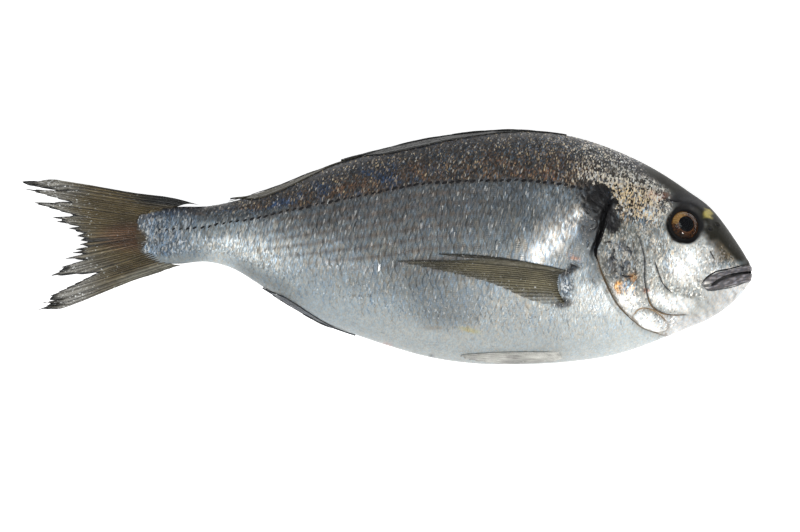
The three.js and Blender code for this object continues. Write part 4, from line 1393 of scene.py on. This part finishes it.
# Paired fins. roots and tips: share of the way down the fin, x, y. lift: share along the fin, height
PECTORAL = {
    "roots": [[0, 85.0, -11.2], [0.1, 84.0, -12.2], [0.3, 82.4, -14.8], [0.7, 81.6, -20.5], [1, 83.0, -25.6]],
    "tips": [[0, 25, -3.0], [0.03, 24, -3.3], [0.055, 44, -6.0], [0.08, 5, -6.4], [0.12, 8, -7.2],
             [0.2, 15, -8.6], [0.32, 25, -10.8], [0.45, 36, -13.2], [0.58, 46, -15.6], [0.7, 54, -18.6],
             [0.82, 61, -22], [0.92, 68, -24.8], [1, 75, -26.4]],
    "lift": ([0, 0.1, 0.5, 1.0], [-0.7, 1.0, 1.4, 0.8]),
    "rays": 16, "bow": 1.8, "colour": PECTORAL_OLIVE,
    "tips_dark": 0.15, "root_shade_and_dark_top": 0.85, "paler_below": 0.7, "fading": 0.65,
}
PELVIC = {
    "roots": [[0, 83, -48.6], [0.5, 83.5, -50.2], [1, 83, -51.8]],
    "tips": [[0, 34, -49.6], [0.25, 37, -51.0], [0.5, 42, -52.2], [0.75, 50, -53.2], [1, 60, -53.6]],
    "lift": ([0, 0.2, 0.6, 1.0], [-0.7, 0.9, 1.1, 0.7]),
    "rays": 7, "bow": 0.8, "colour": PELVIC_PALE, "fading": 0.4,
}


def thickened(piece, weights, thickness):
    """Gives a sheet its thickness, thicker where the weights are larger."""
    group = piece.vertex_groups.new(name="thickness")
    for index, weight in enumerate(weights):
        group.add([index], float(weight), "REPLACE")
    bpy.context.view_layer.objects.active = piece
    wall = piece.modifiers.new("solidify", "SOLIDIFY")
    wall.thickness = thickness * MM
    wall.offset = 0
    wall.vertex_group = "thickness"
    wall.thickness_vertex_group = 0.02
    wall.use_even_offset = False
    bpy.ops.object.modifier_apply(modifier=wall.name)
    piece.vertex_groups.clear()


def off_ray(across, rays):
    """How far a point lies from where rays run, at 0.5, as a share of their spacing."""
    return np.abs((across * rays) % 1.0 - 0.5)


def ray_profile(across, rays):
    """1 on a ray's ridge and 0 between rays."""
    return fade(off_ray(across, rays), 0.08, 0.34)


def build_tail():
    """A fan of rays from the tail's root to its frayed outline, each ray ending in its own point."""
    piece, across, along = grid("tail_fin", TAIL_RAYS * 6, 44)
    steps = np.diff(TAIL_OUTLINE, axis=0)
    passed = run_up(np.linalg.norm(steps, axis=1) * 0.25 + np.abs(steps[:, 1]))
    end = along_line(across, passed / passed[-1], TAIL_OUTLINE)
    root = along_line(across, TAIL_ROOTS[:, 0], TAIL_ROOTS[:, 1:])
    pointed = 1 - 0.05 * (off_ray(across, TAIL_RAYS) * 2) ** 1.5 * ease(along, 0.75, 1.0)
    x, y = mix(root, end, (along ** 0.92 * pointed)[:, None]).T
    top = smooth_line(TAIL_TOP_EDGE)
    bottom = smooth_line(TAIL_BOTTOM_EDGE)
    highest = np.interp(-x, -top[:, 0], top[:, 1])
    lowest = np.interp(-x, -bottom[:, 0], bottom[:, 1])
    y = mix(y, highest, fade(across, 0, 0.12) * fade(along, 0.8, 1.0))
    y = mix(y, lowest, ease(across, 0.88, 1.0) * fade(along, 0.8, 1.0))
    wave = 0.7 * ripple(x, y, 22, 5) * ease(along, 0.1, 0.6)
    z = wave + 0.35 * ripple(x * 0.3, y, 4, 6) * ease(along, 0.5, 1)
    reshape(piece, np.stack([x, y, z], axis=-1))

    ray = ray_profile(across, TAIL_RAYS)
    ray_dark = np.random.default_rng(71).uniform(0, 1, TAIL_RAYS + 1) ** 2
    darkness = ray_dark[np.floor(across * TAIL_RAYS).astype(int)] * ray
    outer = ease(-x, 128, 156) * ease(along, 0.3, 0.9)
    lower = ease(-y, -4, 10) * ease(-x, 120, 140)
    tips = ease(along + 0.06 * ripple(x, y, 3, 8), 0.86, 0.95)
    under = fade(y - lowest, 1.5, 5.5) * fade(-x, 112, 138)
    edge = fade(highest - y, 2.5, 6.5) * fade(-x, 104, 128)
    rim = fade(highest - y, 0.3, 1.3) * np.maximum(fade(-x, 125, 140), ease(-x, 150, 160))
    colour = shaded(TAIL_OLIVE, 1 + 0.3 * ripple(x * 0.2, y, 2.2, 7))
    colour = paint(colour, TAIL_GREY, 0.8 * np.maximum(0.7 * outer, 0.6 * lower))
    colour = paint(colour, RUST * 0.8, 0.6 * spot(x, y, (-118, 4.5), (20, 9)))
    colour = paint(colour, FIN_INK, 0.85 * darkness)
    colour = paint(colour, FIN_INK * 0.7, tips)
    colour = paint(colour, TAIL_GREY * 1.2, 0.9 * under)
    colour = paint(colour, FIN_INK, np.maximum(edge, 0.85 * rim))
    colour = paint(colour, FIN_INK, 0.85 * spot(x, y, (-134, 3.0), (13, 0.9), 4))
    store(piece, "tone", colour)
    store_lay(piece, across, along, np.clip(outer + 0.5 * lower, 0, 1) * (1 - tips))
    thickened(piece, (0.35 + 0.65 * ray) * mix(1.0, 0.22, along ** 0.7), TAIL_THICKNESS)
    finish_piece(piece, make_fin_finish("tail_skin", TAIL_RAYS, clear=0.66, sparkle=0.3))


def build_fan(name, side, material, roots, tips, lift, rays, bow, colour, tips_dark=0.0, root_shade_and_dark_top=0.0,
              paler_below=0.0, fading=0.0):
    """A fin laid back on the body: rays from the roots to the tips, both given from top to bottom."""
    piece, across, along = grid(name, rays * 6, 48)
    roots, tips = np.array(roots), np.array(tips)
    root = along_line(across, roots[:, 0], roots[:, 1:])
    tip = along_line(across, tips[:, 0], tips[:, 1:])
    way = along * (1 - 0.035 * (off_ray(across, rays) * 2) ** 2 * ease(along, 0.7, 1.0))
    x, y = mix(root, tip, way[:, None]).T
    y = y + bow * (1 - across) * 4 * way * (1 - way)
    turn = turn_at(x, y)
    inset = fade(np.minimum(across, 1 - across), 0, 0.04)
    rise = np.interp(along, *lift) + 0.25 * ripple(x * 0.4, y, 5, 9) - 0.3 * inset
    points = form(x, turn, side) + outward(x, turn, side) * rise[:, None]
    points[:, 2] = np.maximum(points[:, 2], FIN_THICKNESS / 2 - MIDDLE_HEIGHT)
    reshape(piece, points)

    tone = shaded(colour, 1 + 0.2 * ripple(x * 0.2, y, 2, 12))
    tone = shaded(tone, 1 + paler_below * ease(across, 0.35, 0.9))
    # dark tips in the fin's own colour, and painted shade towards its root
    tone = paint(tone, FIN_INK, tips_dark * ease(along, 0.6, 1.0) + root_shade_and_dark_top * fade(along, 0.0, 0.2))
    # the top edge darker in the fin's own colour
    tone = paint(tone, FIN_INK, 0.7 * root_shade_and_dark_top * fade(across, 0.02, 0.16))
    store(piece, "tone", tone)
    thin = np.maximum(ease(along, 0.3, 1.0), ease(across, 0.35, 0.8)) * ease(along, 0.05, 0.25)
    lower_base = ease(across, 0.6, 1.0) * ease(along, 0.0, 0.2)
    store_lay(piece, across, along, thin + fading * np.maximum(lower_base, ease(along, 0.7, 1.0) * 0.6))
    thickened(piece, (0.4 + 0.6 * ray_profile(across, rays)) * mix(1.0, 0.35, along), FIN_THICKNESS)
    face_outwards(piece)
    finish_piece(piece, material)


def build_paired_fins():
    pectoral = make_fin_finish("pectoral_skin", PECTORAL["rays"], clear=0.42, dark_rays=0.72, sparkle=0.05)
    pelvic = make_fin_finish("pelvic_skin", PELVIC["rays"], dark_rays=0.18, sparkle=0.03)
    for side, word in SIDES:
        build_fan("pectoral_fin_" + word, side, pectoral, **PECTORAL)
        build_fan("pelvic_fin_" + word, side, pelvic, **PELVIC)


def body_edge(x, on_back):
    """The edge of the body at x, and the direction out of it."""
    back, belly, _ = body_at(x)
    return (back, 1) if on_back else (belly, -1)


def build_folded_fin(name, on_back, front, rear, spines, rays, spine_length, ray_length, material):
    """Spines and rays laid back along the edge of the body, one over the next, over their folded skin."""
    rng = np.random.default_rng(41 + on_back)
    count = spines + rays
    starts = np.linspace(front, rear, count)
    lengths = np.r_[np.full(spines, spine_length), np.full(rays, ray_length)] * rng.uniform(0.85, 1.1, count)
    thick = np.r_[np.full(spines, 0.62), np.full(rays, 0.42)]
    tube, co = ball("ray", 8, 10)
    faces = take_faces(tube)
    tube_x, tube_y, tube_z = co.T[:, None]
    share = (tube_z + 1) / 2
    x = starts[:, None] - lengths[:, None] * share
    edge, out = body_edge(x, on_back)
    radius = thick[:, None] * (1 - 0.75 * share) / np.maximum(np.sqrt(1 - tube_z ** 2), 0.25)
    sway = rng.uniform(-0.5, 0.5, (count, 1)) * share
    rise = -0.5 + np.sin(np.clip(share * 1.3, 0, 1) * math.pi / 2) * rng.uniform(1.0, 1.4, (count, 1))
    y = edge + out * (rise + tube_x * radius)
    points = np.stack([x, y, sway + tube_y * radius], axis=-1)
    build_beads(name, points, faces, FOLDED_DARK * 0.6, material)


def build_folded_skin(name, on_back, front, rear, width, tip_rise, colour, material):
    """Fin skin folded down along the edge of the body, with a free tip at its rear."""
    piece, across, along = grid(name, 8, 110)
    x = mix(front, rear, along)
    edge, out = body_edge(x, on_back)
    reach = width * ease(along, 0.1, 0.7) * (1 - 0.92 * ease(along, 0.72, 1.0)) + 0.1
    outer = 0.25 + tip_rise * ease(along, 0.8, 1.0) + 0.12 * ripple(x, 0 * x, 6, 44)
    y = edge + out * (outer - across * reach)
    z = form(x, turn_at(x, y), RIGHT)[:, 2] + 0.35 + 0.2 * np.sin(across * 9)
    reshape(piece, np.stack([x, y, z], axis=-1))
    tone = shaded(colour, 1.1 - 0.5 * across + 0.25 * ripple(x * 0.2, y, 1, 45))
    tone = paint(tone, FIN_INK, 0.5 * ease(across, 0.7, 0.95) + 0.6 * ease(along, 0.9, 1.0))
    store(piece, "tone", tone)
    store_lay(piece, across, along, 0.3 * ease(along, 0.8, 1.0))
    thickened(piece, np.ones(len(x)), FOLD_THICKNESS)
    face_outwards(piece)
    finish_piece(piece, material)


# ---------------------------------------------------------------- eyes

def eye_frame(side):
    """The eye's centre and its own three directions: out of the skin, to the snout and to the back."""
    x, y = np.array(EYE["x"]), np.array(EYE["y"])
    turn = turn_at(x, y)
    out = outward(x, turn, side)
    centre = form(x, turn, side) + out * (EYE["proud"] - EYE["depth"])
    forward = np.array([1.0, 0, 0]) - out * out[0]
    forward /= np.linalg.norm(forward)
    return centre, out, forward, np.cross(out, forward)


def on_eye(side, co, radius, depth):
    """Vertices of a ball laid in the socket: co to the snout and to the back, depth out of the skin."""
    centre, out, forward, up = eye_frame(side)
    return centre + (co[:, :1] * forward + co[:, 1:2] * up) * radius + depth[:, None] * out


def build_eye(side, word, iris, cornea):
    eyeball, co = ball("eyeball_" + word, 64, 40)
    span = np.hypot(co[:, 0], co[:, 1])
    dish = 0.55 * ease(span, 0.44, 0.54) * fade(span, 0.82, 0.97) * (co[:, 2] > 0)
    points = on_eye(side, co, EYE["radius"], co[:, 2] * (EYE["depth"] - 0.5) - dish)
    points[:, 2] = np.maximum(points[:, 2], -MIDDLE_HEIGHT)
    reshape(eyeball, points)
    around = np.arctan2(co[:, 1], co[:, 0]) / (2 * math.pi) + 0.5
    store_lay(eyeball, np.where(co[:, 2] > 0, span, 1), around, 0 * span)
    face_outwards(eyeball)
    finish_piece(eyeball, iris, replaced=["eye_" + word])

    dome, co = ball("cornea_" + word, 48, 32)
    depth = co[:, 2] * np.where(co[:, 2] > 0, EYE["depth"] + 0.15, 1.0)
    reshape(dome, on_eye(side, co, EYE["radius"] + 0.1, depth))
    face_outwards(dome)
    finish_piece(dome, cornea)


# ---------------------------------------------------------------- stage

LENS = 400.0
SENSOR = 36.0
VIEW_WIDTH = 371.04
VIEW_CENTRE = (6.73, -8.81)
SKY = (0.95, 0.97, 1.0, 1)
SKY_STRENGTH = 0.25
# name, place in metres, size, power, colour
LAMPS = [
    ("key", (0.45, -0.7, 1.35), 0.45, 17.0, (1.0, 0.98, 0.95)),
    ("glint", (-0.35, -0.4, 1.5), 0.1, 4.0, (1, 1, 1)),
    ("fill", (-0.3, 0.6, 1.8), 1.4, 10.0, (0.96, 0.98, 1.0)),
]


def build_floor():
    select_only()
    bpy.ops.mesh.primitive_plane_add(size=6, location=(0, 0, 0))
    floor = newest("floor")
    n = Finish("pale_floor", Roughness=0.8, Emission_Color=(1, 1, 1, 1), Emission_Strength=0.75)
    cloud = n.mottle((60.0, 60.0, 60.0), 0.004)
    floor.data.materials.append(n.give(Base_Color=n.shaded((0.8, 0.8, 0.8), cloud)))


def add_lamp(name, place_at, size, power, colour):
    lamp = bpy.data.lights.new(name, "AREA")
    lamp.shape = "DISK"
    lamp.size = size
    lamp.energy = power
    lamp.color = colour
    holder = linked(name, lamp)
    holder.location = place_at
    holder.rotation_euler = (-holder.location).to_track_quat("-Z", "Y").to_euler()


def build_camera():
    camera = bpy.data.cameras.new("camera")
    camera.lens = LENS
    camera.sensor_width = SENSOR
    camera.clip_end = 50
    holder = linked("camera", camera)
    holder.location = place([*VIEW_CENTRE, VIEW_WIDTH * LENS / SENSOR]).tolist()
    bpy.context.scene.camera = holder


def light_stage():
    world = bpy.data.worlds.new("room")
    bpy.context.scene.world = world
    world.use_nodes = True
    background = world.node_tree.nodes["Background"]
    background.inputs["Color"].default_value = SKY
    background.inputs["Strength"].default_value = SKY_STRENGTH
    for lamp in LAMPS:
        add_lamp(*lamp)
    bpy.context.scene.view_settings.view_transform = "Standard"


# ---------------------------------------------------------------- putting the fish together

build_camera()
build_skin()
build_all_scales()
dark_finish = make_dark_finish()
iris_finish = make_iris_finish()
cornea_finish = make_cornea_finish()
for fish_side, side_word in SIDES:
    build_lateral_line(fish_side, side_word, dark_finish)
    build_head_lines(fish_side, side_word, dark_finish)
    build_eye(fish_side, side_word, iris_finish, cornea_finish)
build_tail()
build_paired_fins()
build_folded_fin("dorsal_fin", on_back=True, front=76, rear=-54, spines=11, rays=8,
                 spine_length=19, ray_length=18, material=dark_finish)
build_folded_fin("anal_fin", on_back=False, front=-22, rear=-46, spines=3, rays=5,
                 spine_length=11, ray_length=10, material=dark_finish)
folded_finish = make_fin_finish("folded_skin", rays=3, dark_rays=0.4)
build_folded_skin("dorsal_skin_front", on_back=True, front=84, rear=-20.6, width=2.6, tip_rise=0.9,
                  colour=FOLDED_DARK * 0.38, material=folded_finish)
build_folded_skin("dorsal_skin_rear", on_back=True, front=-12, rear=-72, width=2.4, tip_rise=1.4,
                  colour=PECTORAL_OLIVE * 0.55, material=folded_finish)
build_folded_skin("anal_skin", on_back=False, front=-14, rear=-57, width=2.3, tip_rise=0.5,
                  colour=TAIL_NAVY * 0.9, material=folded_finish)
build_floor()
light_stage()
